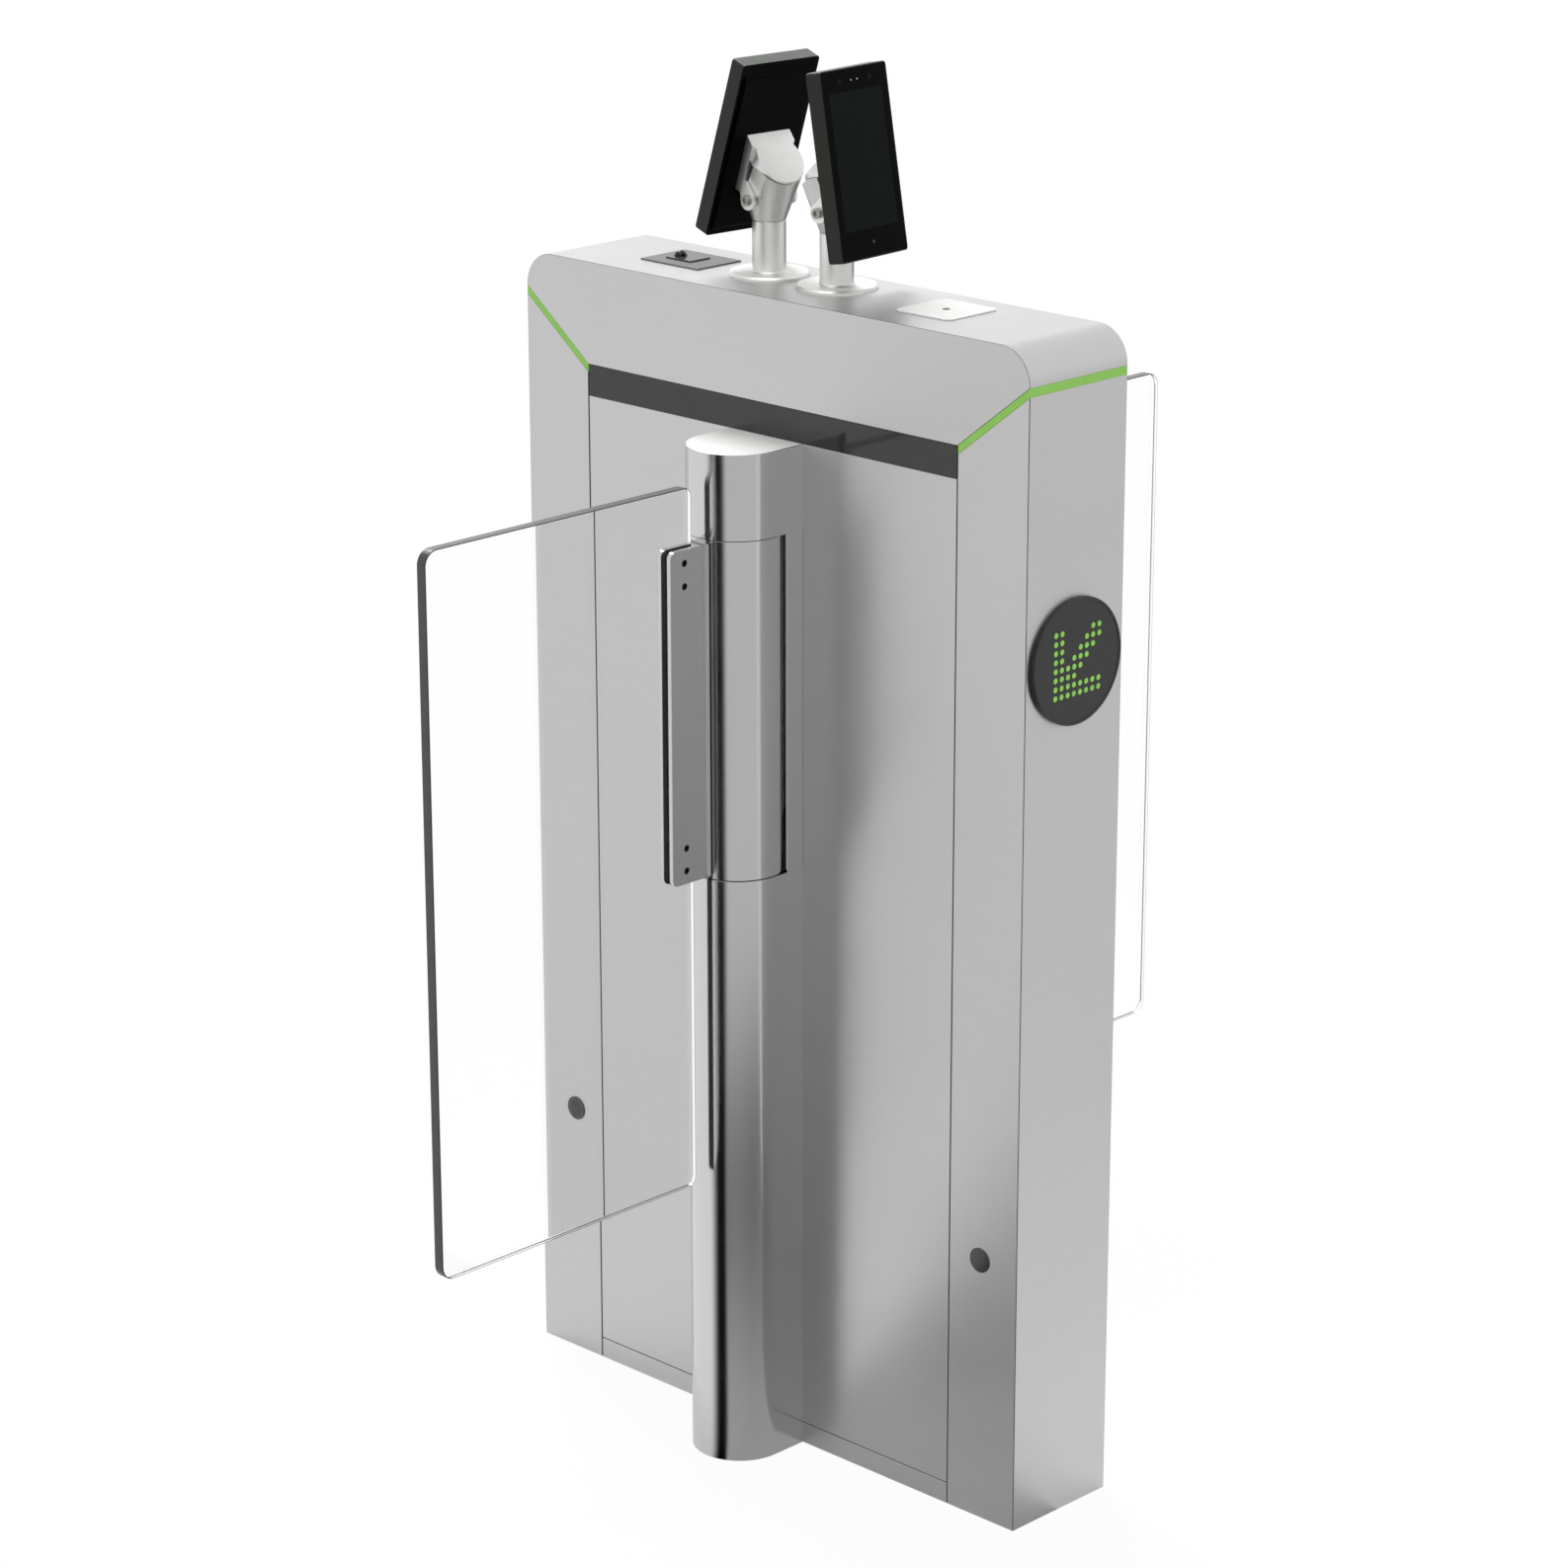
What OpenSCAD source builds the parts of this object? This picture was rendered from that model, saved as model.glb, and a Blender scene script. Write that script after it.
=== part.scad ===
// Swing turnstile: a slim two-lane middle cabinet with a swinging glass wing on each long
// side and two face terminals on poles.
// The origin is on the floor under the middle of the cabinet. X runs along the cabinet,
// the front wing reaches to -Y, the back wing to +Y, and Z is up. Sizes are in millimetres.

/* [Cabinet] */
// Cabinet length from end face to end face
cabinet_length = 586; // [570:1:640]
// Cabinet depth from front face to back face
cabinet_depth = 119; // [117:1:125]
// Height of the flat top above the floor
cabinet_height = 1031; // [1020:1:1060]
// Radius of the rounded ends of the top
top_round = 31; // [24:1:36]
// Width of an end post on the long faces
post_width = 76.7; // [72:0.1:84]
// Thickness of every sheet steel skin
sheet = 2; // [1.6:0.1:2.2]
// Width of the visible gap between neighbouring skins
seam = 0.8; // [0.4:0.1:1.2]
// Height of the top cover's long faces
cover_height = 90; // [84:1:96]
// Height of the smoked band under the top cover
band_height = 28; // [20:1:36]
// Upright height of the green light strips
strip_height = 7.5; // [5:0.5:10]
// Depth of the light strips behind the skin's face
strip_depth = 4; // [3:0.5:6]
// Height of the kick strips at the floor
plinth_height = 19.5; // [14:0.5:26]
// Width of the sheet folded in along an end post's inner edges
post_return = 15; // [10:1:20]

/* [Inner frame] */
// Thickness of the base plate
base_thickness = 6; // [5:0.5:8]
// Anchor hole diameter
anchor_hole_d = 13; // [11:0.5:15]
// Distance of the anchor holes from the end faces
anchor_edge = 43; // [36:1:53]
// Distance between the anchor holes across the cabinet
anchor_spacing_y = 70; // [60:1:76]
// Diameter of the cable entry in the base plate
cable_entry_d = 60; // [40:1:70]
// Distance of the cable entry from the cabinet's middle
cable_entry_x = 130; // [110:1:140]
// Width of the upright tubes along the cabinet
upright_width = 40; // [36:1:44]
// Wall thickness of the upright tubes
upright_wall = 2.5; // [2:0.1:3]
// Thickness of the rails between the uprights
rail_thickness = 6; // [5:0.5:8]
// Width of the rails across the cabinet
rail_depth = 80; // [70:1:90]
// Height of the flanges of the top beam
beam_height = 34; // [28:1:40]
// Thickness of the top beam's web and flanges
beam_wall = 3; // [2.5:0.1:4]

/* [Column] */
// Radius of a column's round front and half its width
column_radius = 42.5; // [41:0.5:43]
// Distance that a column stands out from the cabinet's face
column_reach = 78.5; // [76:0.5:82]
// Height of the upper housing, from the drum to the smoked band
upper_housing_height = 74; // [68:1:86]
// Height of the turning drum
drum_height = 298; // [285:1:310]
// Depth of the drum's skin behind the housings' skin
drum_recess = 0.8; // [0.6:0.1:1.5]
// Depth below the drum of the window behind a column that the drive passes through
window_depth = 230; // [225:1:260]
// Height of the strip of panel over the window behind a column
window_head = 4; // [3:0.5:8]

/* [Drive] */
// Diameter of the wing shaft
shaft_d = 20; // [18:0.5:22]
// Outer diameter of the shaft bearings
bearing_d = 42; // [40:1:47]
// Width of the shaft bearings
bearing_width = 12; // [10:0.5:13]
// Width of a bearing's rings
bearing_ring = 3; // [2:0.5:4]
// Depth of a bearing's seals behind its rings
seal_step = 1; // [0.5:0.1:1.5]
// Width of the shoulder that a bearing sits on
bearing_shoulder = 4; // [3:0.5:6]
// Thickness of the bearing carriers
carrier_thickness = 14; // [14:0.5:18]
// Radius of the carriers' round front
carrier_radius = 36; // [35:0.5:37]
// Height of the free space between a carrier and the drum
carrier_gap = 4; // [3.5:0.5:6]
// Width of the free space between a side plate and the blade at the ends of the swing
blade_room = 11.5; // [8:0.5:14]
// Distance of the drum hubs from the drum's ends
hub_inset = 1.8; // [1.2:0.1:4]
// Thickness of the drum hubs
hub_thickness = 8; // [6:0.5:10]
// Diameter of the motor and the gearbox
motor_d = 56; // [50:1:60]
// Height of the gearbox
gearbox_height = 70; // [60:1:80]
// Width of the gearbox's flange
gearbox_flange = 4; // [3:0.5:6]
// Thickness of the gearbox's flange
gearbox_flange_t = 6; // [4:0.5:8]
// Height of the motor
motor_height = 110; // [90:1:120]
// Height of the motor's end cap
motor_cap = 22; // [16:1:28]
// Depth of the motor's end cap behind its body
motor_cap_step = 2; // [1:0.5:3]
// Width of the motor's terminal box
motor_box_width = 28; // [20:1:34]
// Distance that the motor's terminal box stands out
motor_box_stand = 6; // [3:0.5:8]
// Diameter of the shaft's lower spigot
spigot_d = 14; // [12:0.5:16]
// Length of the shaft's lower spigot
spigot_length = 30; // [20:1:40]
// Diameter of the stop peg under the lower hub
stop_peg_d = 8; // [6:0.5:9]
// Distance of the stop peg from the shaft axis
stop_peg_radius = 30; // [29:0.5:30.5]

/* [Electronics] */
// Width of the control board
board_width = 78; // [60:1:90]
// Height of the control board
board_height = 118; // [100:1:140]
// Height of the control board's lower edge above the floor
board_low = 583; // [540:1:600]
// Thickness of the control board
board_thickness = 2; // [1.6:0.1:2.4]
// Length of the control board's stand-offs
standoff_length = 12; // [8:1:15]
// Diameter of the control board's stand-offs
standoff_d = 6; // [5:0.5:8]
// Distance of the stand-offs from the control board's edges
standoff_edge = 8; // [6:0.5:12]
// Width of the relays on the control board
relay_width = 31; // [24:1:40]
// Height of a relay along the control board
relay_height = 12; // [8:1:15]
// Distance that the relays stand out from the control board
relay_stand = 6; // [4:1:15]
// Distance between the relays
relay_pitch = 18; // [16:1:24]
// Width of the power supply across the cabinet
supply_width = 80; // [60:1:100]
// Depth of the power supply along the cabinet
supply_depth = 40; // [30:1:50]
// Height of the power supply
supply_height = 115; // [90:1:160]
// Height of the power supply's lower edge above the floor
supply_low = 428; // [300:1:500]
// Height of the power supply's cooling slots
slot_height = 2; // [1.5:0.1:4]
// Depth of the cooling slots
slot_depth = 2; // [1:0.1:3]
// Distance between the cooling slots
slot_pitch = 8; // [6:0.5:12]
// Distance of the cooling slots from the power supply's edges
slot_edge = 10; // [6:0.5:14]

/* [Glass wing] */
// Thickness of the glass
glass_thickness = 10; // [8:0.5:12]
// Distance of the glass's inner edge from the shaft axis
glass_start = 57.5; // [54:0.5:62]
// Length of the glass away from the shaft
glass_length = 293; // [270:1:320]
// Distance of the glass's lower edge below the drum
glass_below = 276; // [250:1:300]
// Distance of the glass's upper edge above the drum
glass_above = 48; // [30:1:66]
// Radius of the glass's outer corners
glass_corner = 13; // [8:1:25]
// Radius of the glass's inner corners
glass_inner_corner = 8; // [4:0.5:12]

/* [Clamp] */
// Distance of the clamp plates' inner edge from the shaft axis
clamp_start = 42.2; // [41.9:0.1:43.6]
// Width of the clamp plates
clamp_width = 45; // [42:0.5:50]
// Thickness of a clamp plate
clamp_plate = 4; // [3:0.1:5]
// Thickness of the gasket between plate and glass
gasket = 1; // [0.8:0.1:1.2]
// Distance of the clamp's lower edge from the drum's lower edge
clamp_low_gap = 3.7; // [3:0.1:6]
// Distance of the clamp's upper edge from the drum's upper edge
clamp_top_gap = 2.7; // [1.6:0.1:4]
// Radius of the clamp plates' outer corners
clamp_corner = 6; // [3:0.5:9]
// Diameter of the clamp screws
clamp_screw_d = 6; // [5:0.5:7]
// Distance of the clamp screws from the plates' outer edge
clamp_screw_edge = 16.5; // [14:0.1:18]
// Distance of the first clamp screw from a plate's end
clamp_screw_end = 11.5; // [9:0.5:14]
// Distance between the two screws at each end
clamp_screw_pitch = 20; // [16:1:26]

/* [Sensors] */
// Diameter of a sensor lens
sensor_lens_d = 22; // [20:0.5:24]
// Thickness of a sensor lens in front of the skin
sensor_lens_t = 1.2; // [0.8:0.1:1.6]
// Diameter of a sensor barrel
sensor_barrel_d = 18; // [16:0.5:19]
// Length of a sensor barrel
sensor_barrel_length = 42; // [30:1:48]
// Distance of a sensor from the end face
sensor_edge = 41.5; // [34:0.5:48]
// Height of the sensors
sensor_height = 239.5; // [200:0.5:400]

/* [Direction display] */
// Diameter of the display's rim
display_d = 108; // [100:1:114]
// Width of the display's rim
display_rim = 2.5; // [2:0.1:4]
// Height that the display stands out from the end face
display_stand = 4.2; // [3.6:0.1:6]
// Thickness of the display's floor behind the window
display_floor = 1.4; // [1:0.1:1.8]
// Distance of the display's middle below the flat top
display_depth = 267; // [200:1:400]
// Depth of the window behind the rim
display_step = 0.6; // [0.3:0.1:0.9]
// Distance between the light dots
dot_pitch = 7.62; // [7:0.01:8]
// Diameter of a light dot
dot_d = 5; // [4:0.1:5.6]
// Height of a dot in front of the window
dot_stand = 0.2; // [0.1:0.1:0.4]
// Diameter of the display's cable stub
stub_d = 40; // [30:1:60]
// Wall thickness of the cable stub
stub_wall = 4; // [2:0.5:6]
// Length of the cable stub behind the end face
stub_length = 14; // [8:1:20]

/* [Readers] */
// Length of the scanner plate
scanner_length = 70; // [64:1:76]
// Width of the scanner plate
scanner_width = 53; // [48:1:58]
// Place of the scanner's middle between the left flange and the end of the flat top
scanner_place_share = 0.343; // [0.3:0.001:0.4]
// Distance of the readers' middle behind the cabinet's middle
reader_y = 6; // [0:0.5:8]
// Thickness of the reader plates above the top
reader_plate = 1.2; // [0.8:0.1:2]
// Width of the plates' rims that lie on the top
reader_rim = 7; // [5:0.5:9]
// Depth of the reader bodies under the top
reader_body = 18; // [12:1:22]
// Length of the scanner window
window_length = 30; // [26:0.5:34]
// Width of the scanner window
window_width = 24; // [20:0.5:28]
// Height of the scanner window above its plate
window_stand = 1.4; // [0.8:0.1:2]
// Distance of the scanner window's middle from its plate's middle
window_shift = 3.5; // [0:0.5:5]
// Radius of the scanner's dome
dome_r = 6; // [5:0.1:6.5]
// Length and width of the card reader plate
card_side = 62; // [56:1:66]
// Place of the card reader's middle between the right flange and the end of the flat top
card_place_share = 0.439; // [0.4:0.001:0.5]
// Corner radius of the card reader plate
card_corner = 7; // [4:0.5:10]
// Diameter of the card reader's eye
eye_d = 6; // [4:0.5:8]
// Height of the eye above the plate
eye_stand = 0.3; // [0.2:0.1:0.6]

/* [Terminal stands] */
// Distance of the left pole from the cabinet's middle, to the left
left_pole_away = 64.5; // [62:0.5:70]
// Distance of the right pole from the cabinet's middle, to the right
right_pole_x = 15; // [13:0.5:24]
// Distance of the poles behind the cabinet's middle
pole_y = 10; // [0:0.5:14]
// Diameter of a pole
pole_d = 29; // [28:0.5:30]
// Wall thickness of a pole
pole_wall = 2.5; // [2:0.1:3]
// Height of a pole above the top
pole_height = 47.5; // [44:0.5:54]
// Diameter of a pole's flange
flange_d = 70; // [60:1:74]
// Thickness of a pole's flange
flange_thickness = 3.5; // [2.5:0.1:5]
// Width of the bevel on the flange's upper edge
flange_bevel = 1.5; // [0.5:0.1:2]
// Turn of the left terminal about its pole, counted from straight out along -X
left_pan = -4.5; // [-12:0.5:12]
// Turn of the right terminal about its pole, counted from straight out along +X
right_pan = 3.5; // [-12:0.5:12]
// Backward tilt of the left terminal
left_tilt = 18.5; // [4:0.5:22]
// Backward tilt of the right terminal
right_tilt = 9.5; // [4:0.5:22]
// Largest backward tilt that the neck leaves room for
max_tilt = 25; // [22:1:26]
// Height of the tilt pivot above the pole's end
pivot_rise = 19; // [18:0.5:21]
// Diameter of the pivot screw
pivot_d = 6; // [5:0.5:7]
// Radius of the neck's widest, domed part about the pivot
neck_dome = 29.5; // [28:0.1:29.6]
// Widening of the neck for each millimetre of its height
neck_slope_share = 0.37; // [0.3:0.01:0.42]
// Half width of the neck between the bracket's ears
neck_half = 21.2; // [20:0.1:21.3]
// Length of the neck's spigot inside the pole
neck_spigot = 20; // [15:1:30]
// Diameter of the cable way through neck and spigot
neck_bore_d = 12; // [8:0.5:14]

/* [Bracket] */
// Distance of the bracket plate's back from the pivot
plate_back = 9; // [8.8:0.1:10]
// Distance of the bracket plate's front from the pivot
plate_front = 18; // [17:0.5:20]
// Half width of the bracket plate
plate_half = 23.5; // [22:0.5:26]
// Height of the bracket plate's lower edge above the pivot
plate_low = 2; // [1.5:0.1:4]
// Height of the bracket plate's upper edge above the pivot
plate_top = 52; // [50:1:54]
// Distance of the cap's underside from the pivot
cap_distance = 30; // [29.9:0.1:31]
// Thickness of the cap
cap_thickness = 3; // [2:0.1:4]
// Backward lean of the cap
cap_lean = 34; // [30:1:36]
// Radius of the cap's round end
cap_radius = 23; // [21:0.5:24]
// Distance of the cap's middle from its nearest point to the pivot
cap_shift = 18.5; // [17:0.5:21]
// Half width of the bridge from the cap to the plate
cap_bridge_half = 19.5; // [16:0.5:21]
// Radius of the hollow flares from the cap's bridge to the plate
cap_flare = 4; // [3:0.5:4]
// Depth of the cap's skirt round the neck's dome
cap_skirt = 8; // [6:0.5:9]
// Thickness of the bracket's ears
ear_thickness = 3; // [2.5:0.1:4]
// Radius of the ears about the pivot
ear_radius = 8.5; // [7.5:0.5:9.5]
// Width of the side gap between neck and ears
ear_gap = 0.3; // [0.2:0.05:0.4]
// Diameter of the pivot screw's head
pivot_head_d = 9; // [8:0.5:11]
// Thickness of the pivot screw's head
pivot_head_t = 3; // [2:0.1:4]

/* [Terminal] */
// Width of a terminal
terminal_width = 85; // [80:0.5:88]
// Height of a terminal
terminal_height = 158; // [150:1:166]
// Thickness of a terminal
terminal_thickness = 18; // [16:0.5:22]
// Height of the terminal's middle above the pivot
terminal_rise = 37.5; // [35:0.5:41]
// Corner radius of the terminal seen from the front
terminal_corner = 3; // [2:0.5:6]
// Thickness of the raised back cover
back_cover_t = 3; // [2:0.1:4]
// Width of the step round the terminal's raised back cover
back_cover_step = 9; // [6:0.5:12]
// Width of the case's rim round the front glass
case_rim = 1.2; // [1:0.1:2]
// Thickness of the front glass
front_glass_t = 2; // [1.5:0.1:3]
// Wall thickness of the case
case_wall = 2.5; // [2:0.1:3]

/* [Hidden] */
$fn = 64;

// Length by which every cut runs past the face that it opens
over = 1;
// Radial clearance of shafts, pins, bearings and other round fits
fit = 0.05;
// Clearance between faces that move past each other
slip = 0.3;
// Half turn that makes a back unit or a left-hand piece from its twin
half_turn = 180;

half_length = cabinet_length / 2;
half_depth = cabinet_depth / 2;
half_inner = half_depth - sheet;
seam_x = half_length - post_width;
round_z = cabinet_height - top_round;
cover_bottom = cabinet_height - cover_height;
band_bottom = cover_bottom - band_height;
top_under = cabinet_height - sheet;

column_y = half_depth + column_reach - column_radius;
column_inner = column_radius - sheet;
drum_top = band_bottom - upper_housing_height;
drum_bottom = drum_top - drum_height;
drum_radius = column_radius - drum_recess;
drum_inner = drum_radius - sheet;

lower_carrier_top = drum_bottom - carrier_gap;
lower_carrier_bottom = lower_carrier_top - carrier_thickness;
upper_carrier_bottom = drum_top + carrier_gap;
upper_carrier_top = upper_carrier_bottom + carrier_thickness;
hub_low = drum_bottom + hub_inset;
hub_high = drum_top - hub_inset - hub_thickness;
blade_thickness = glass_thickness + 2 * gasket;
blade_end = glass_start - slip;
glass_bottom = drum_bottom - glass_below;
glass_top = drum_top + glass_above;
clamp_bottom = drum_bottom + clamp_low_gap;
clamp_top = drum_top - clamp_top_gap;
clamp_end = clamp_start + clamp_width;
side_plate_front = column_y - blade_thickness / 2 - blade_room;
stop_block = stop_peg_d;

upright_x = seam_x - seam / 2 - upright_width;
inner_span = upright_x;
display_z = cabinet_height - display_depth;
flat_end = half_length - top_round;
left_pole_x = -left_pole_away;
left_flange_end = left_pole_x - flange_d / 2;
right_flange_end = right_pole_x + flange_d / 2;
scanner_x = left_flange_end - scanner_place_share * (flat_end + left_flange_end);
card_x = right_flange_end + card_place_share * (flat_end - right_flange_end);
pivot_z = cabinet_height + pole_height + pivot_rise;
cap_outer = cap_distance + cap_thickness;
flare_end = (plate_back + cap_outer * sin(cap_lean)) / cos(cap_lean);
terminal_back = plate_front;
terminal_front = terminal_back + terminal_thickness;
terminal_low = terminal_rise - terminal_height / 2;
terminal_high = terminal_rise + terminal_height / 2;

// Lit dots of each row of the arrow, from the top row down, counted from the left
arrow_rows = [
    [0, 1, 6, 7],
    [0, 1, 5, 6, 7],
    [0, 1, 4, 5, 6],
    [0, 1, 3, 4, 5],
    [0, 1, 2, 3, 4],
    [0, 1, 2, 3],
    [0, 1, 2, 3, 4, 5, 6, 7],
    [0, 1, 2, 3, 4, 5, 6, 7]
];
// Middle of the eight by eight grid, counted in dots
arrow_middle = (len(arrow_rows) - 1) / 2;
// Places where an ear's straight edges leave its round end, as shares of its radius
ear_side_shares = [-0.5, 0.6];
ear_height_shares = [0.8, -0.8];
// Height of an ear at the bracket plate, as a share of the plate's upper edge
ear_top_share = 0.3;

steel = [0.76, 0.76, 0.75];
pale_steel = [0.93, 0.93, 0.92];
dark_grey = [0.28, 0.28, 0.28];
black = [0.05, 0.05, 0.05];
green = [0.52, 0.71, 0.31];
zinc = [0.62, 0.64, 0.66];
board_green = [0.1, 0.35, 0.2];
clear_glass = [0.85, 0.93, 0.9, 0.4];

// Block between two opposite corners
module block(low, high) {
    translate(low) cube(high - low);
}

// A piece and its twin at the other end or side of the cabinet
module both_ways() {
    children();
    rotate([0, 0, half_turn]) children();
}

// Frame inside the cabinet
module base_plate() {
    color(zinc)
    difference() {
        block(
            [-half_length + sheet, -half_inner, 0],
            [half_length - sheet, half_inner, base_thickness]
        );
        for (x = [-1, 1], y = [-1, 1])
            translate([x * (half_length - anchor_edge), y * anchor_spacing_y / 2, -over])
                cylinder(d = anchor_hole_d, h = base_thickness + 2 * over);
        translate([cable_entry_x, 0, -over])
            cylinder(d = cable_entry_d, h = base_thickness + 2 * over);
    }
}

module upright() {
    difference() {
        block(
            [upright_x, -half_inner, base_thickness],
            [upright_x + upright_width, half_inner, cover_bottom]
        );
        block(
            [upright_x + upright_wall, -half_inner + upright_wall, 0],
            [upright_x + upright_width - upright_wall, half_inner - upright_wall, cabinet_height]
        );
    }
    for (y = [-half_inner, half_inner - upright_wall])
        block(
            [upright_x, y, cover_bottom - over],
            [upright_x + upright_width, y + upright_wall, top_under]
        );
}

module uprights() {
    color(zinc) both_ways() upright();
}

module cross_rails() {
    color(zinc)
    for (z = [lower_carrier_bottom - rail_thickness, upper_carrier_top])
        block([-inner_span, -rail_depth / 2, z], [inner_span, rail_depth / 2, z + rail_thickness]);
}

module top_beam() {
    color(zinc)
    difference() {
        block(
            [-inner_span, -half_inner, top_under - beam_height],
            [inner_span, half_inner, top_under]
        );
        block(
            [-cabinet_length, -half_inner + beam_wall, 0],
            [cabinet_length, half_inner - beam_wall, top_under - beam_wall]
        );
        top_openings();
    }
}

// Holes in the top for the readers' bodies and the poles' cables
module top_openings() {
    low = top_under - beam_height;
    high = cabinet_height + over;
    block(
        [scanner_x - scanner_length / 2 + reader_rim, reader_y - scanner_width / 2 + reader_rim, low],
        [scanner_x + scanner_length / 2 - reader_rim, reader_y + scanner_width / 2 - reader_rim, high]
    );
    block(
        [card_x - card_side / 2 + reader_rim, reader_y - card_side / 2 + reader_rim, low],
        [card_x + card_side / 2 - reader_rim, reader_y + card_side / 2 - reader_rim, high]
    );
    for (x = [left_pole_x, right_pole_x])
        translate([x, pole_y, low])
            cylinder(d = pole_d - 2 * pole_wall, h = high - low);
}

// Sloping top edge of an end post and its light strip, as a height at a place along X
function slope_z(x) = cover_bottom + (x - seam_x) * (round_z - cover_bottom) / post_width;

// Outline of an end post's long face, under the light strip
module post_outline() {
    inner = seam_x + seam / 2;
    polygon([
        [inner, 0],
        [half_length, 0],
        [half_length, round_z - strip_height],
        [inner, slope_z(inner) - strip_height]
    ]);
}

// A flat outline in X and Z given its thickness across Y, middle on the X axis
module across(thickness) {
    translate([0, thickness / 2, 0]) rotate([90, 0, 0]) linear_extrude(thickness) children();
}

module end_post() {
    inner = seam_x + seam / 2;
    difference() {
        across(cabinet_depth) post_outline();
        difference() {
            block([0, -half_inner, -over], [half_length - sheet, half_inner, cabinet_height]);
            for (side = [-1, 1])
                translate([0, side * (half_inner - post_return / 2), 0])
                    block(
                        [0, -post_return / 2, base_thickness],
                        [inner + sheet, post_return / 2, round_z]
                    );
        }
        translate([half_length - sheet - over, 0, display_z])
            rotate([0, 90, 0]) cylinder(d = stub_d + 2 * fit, h = sheet + 2 * over);
        translate([half_length - sensor_edge, -half_depth - over, sensor_height])
            rotate([-90, 0, 0])
                cylinder(d = sensor_barrel_d + 2 * fit, h = cabinet_depth + 2 * over);
    }
}

module left_end_post() {
    color(steel) rotate([0, 0, half_turn]) end_post();
}

module right_end_post() {
    color(steel) end_post();
}

module skin_panel() {
    edge = seam_x - seam / 2;
    window = column_inner - seam;
    difference() {
        block([-edge, -half_depth, plinth_height + seam / 2], [edge, -half_inner, band_bottom]);
        block(
            [-window, -half_depth - over, drum_bottom - window_depth],
            [window, -half_inner + over, band_bottom - window_head]
        );
    }
}

module front_panel() {
    color(steel) skin_panel();
}

module back_panel() {
    color(steel) rotate([0, 0, half_turn]) skin_panel();
}

module plinth_strips() {
    edge = seam_x - seam / 2;
    color(steel) both_ways()
        block([-edge, -half_depth, 0], [edge, -half_inner, plinth_height - seam / 2]);
}

module light_bands() {
    edge = seam_x - seam / 2;
    color(dark_grey) both_ways()
        block([-edge, -half_depth, band_bottom], [edge, -half_inner, cover_bottom]);
}

// Outline of the top cover's long face, with a skin's thickness taken off all round
module cover_outline(skin) {
    intersection() {
        polygon([
            [-seam_x, cover_bottom],
            [seam_x, cover_bottom],
            [half_length, round_z],
            [half_length, cabinet_height],
            [-half_length, cabinet_height],
            [-half_length, round_z]
        ]);
        union() {
            for (side = [-1, 1])
                translate([side * flat_end, round_z]) circle(r = top_round - skin);
            translate([-flat_end, 0]) square([2 * flat_end, cabinet_height - skin]);
            translate([-half_length + skin, 0]) square([cabinet_length - 2 * skin, round_z]);
        }
    }
}

module top_cover() {
    color(pale_steel)
    difference() {
        across(cabinet_depth) cover_outline(0);
        across(cabinet_depth - 2 * sheet) cover_outline(sheet);
        top_openings();
    }
}

module light_strip() {
    inner = seam_x + seam / 2;
    difference() {
        across(cabinet_depth)
            polygon([
                [inner, slope_z(inner) - strip_height],
                [half_length, round_z - strip_height],
                [half_length, round_z],
                [inner, slope_z(inner)]
            ]);
        block(
            [0, -half_depth + strip_depth, 0],
            [half_length - strip_depth, half_depth - strip_depth, cabinet_height]
        );
    }
}

module left_light_strip() {
    color(green) rotate([0, 0, half_turn]) light_strip();
}

module right_light_strip() {
    color(green) light_strip();
}

// Places of the four sensors, each looking out along -Y of its own turn
module each_sensor() {
    both_ways()
        for (side = [-1, 1])
            translate([side * (half_length - sensor_edge), -half_depth, sensor_height])
                rotate([90, 0, 0]) children();
}

module sensor_lenses() {
    color(dark_grey) each_sensor() cylinder(d = sensor_lens_d, h = sensor_lens_t);
}

module sensor_barrels() {
    color(black) each_sensor()
        translate([0, 0, -sensor_barrel_length]) cylinder(d = sensor_barrel_d, h = sensor_barrel_length);
}

// Places of the two direction displays, with Z of the piece pointing out of the end face
module each_display() {
    both_ways()
        translate([half_length, 0, display_z]) rotate([0, 90, 0]) children();
}

module arrow_bezels() {
    color(black) each_display()
    difference() {
        union() {
            cylinder(d = display_d, h = display_stand);
            translate([0, 0, -stub_length]) cylinder(d = stub_d, h = stub_length + display_floor);
        }
        translate([0, 0, display_floor])
            cylinder(d = display_d - 2 * display_rim, h = display_stand);
        translate([0, 0, -stub_length - over])
            cylinder(d = stub_d - 2 * stub_wall, h = stub_length + over - sheet);
    }
}

// Places of the lit dots in the window's plane
module each_dot() {
    for (row = [0 : len(arrow_rows) - 1])
        for (column = arrow_rows[row])
            translate([(row - arrow_middle) * dot_pitch, (column - arrow_middle) * dot_pitch, 0])
                children();
}

module arrow_windows() {
    window_t = display_stand - display_step - display_floor;
    color(dark_grey) each_display()
    difference() {
        translate([0, 0, display_floor])
            cylinder(d = display_d - 2 * display_rim - 2 * fit, h = window_t);
        each_dot()
            cylinder(d = dot_d + 2 * fit, h = display_stand + over);
    }
}

module arrow_leds() {
    color(green) each_display() each_dot()
        translate([0, 0, display_floor])
            cylinder(d = dot_d, h = display_stand - display_step + dot_stand - display_floor);
}

// Column housings
// Outline of a column: a half circle on a block that ends at the cabinet's face
module column_outline(skin) {
    half = column_radius - skin;
    translate([0, -column_y]) circle(r = half);
    translate([-half, -column_y]) square([2 * half, column_y - half_depth]);
}

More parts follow.
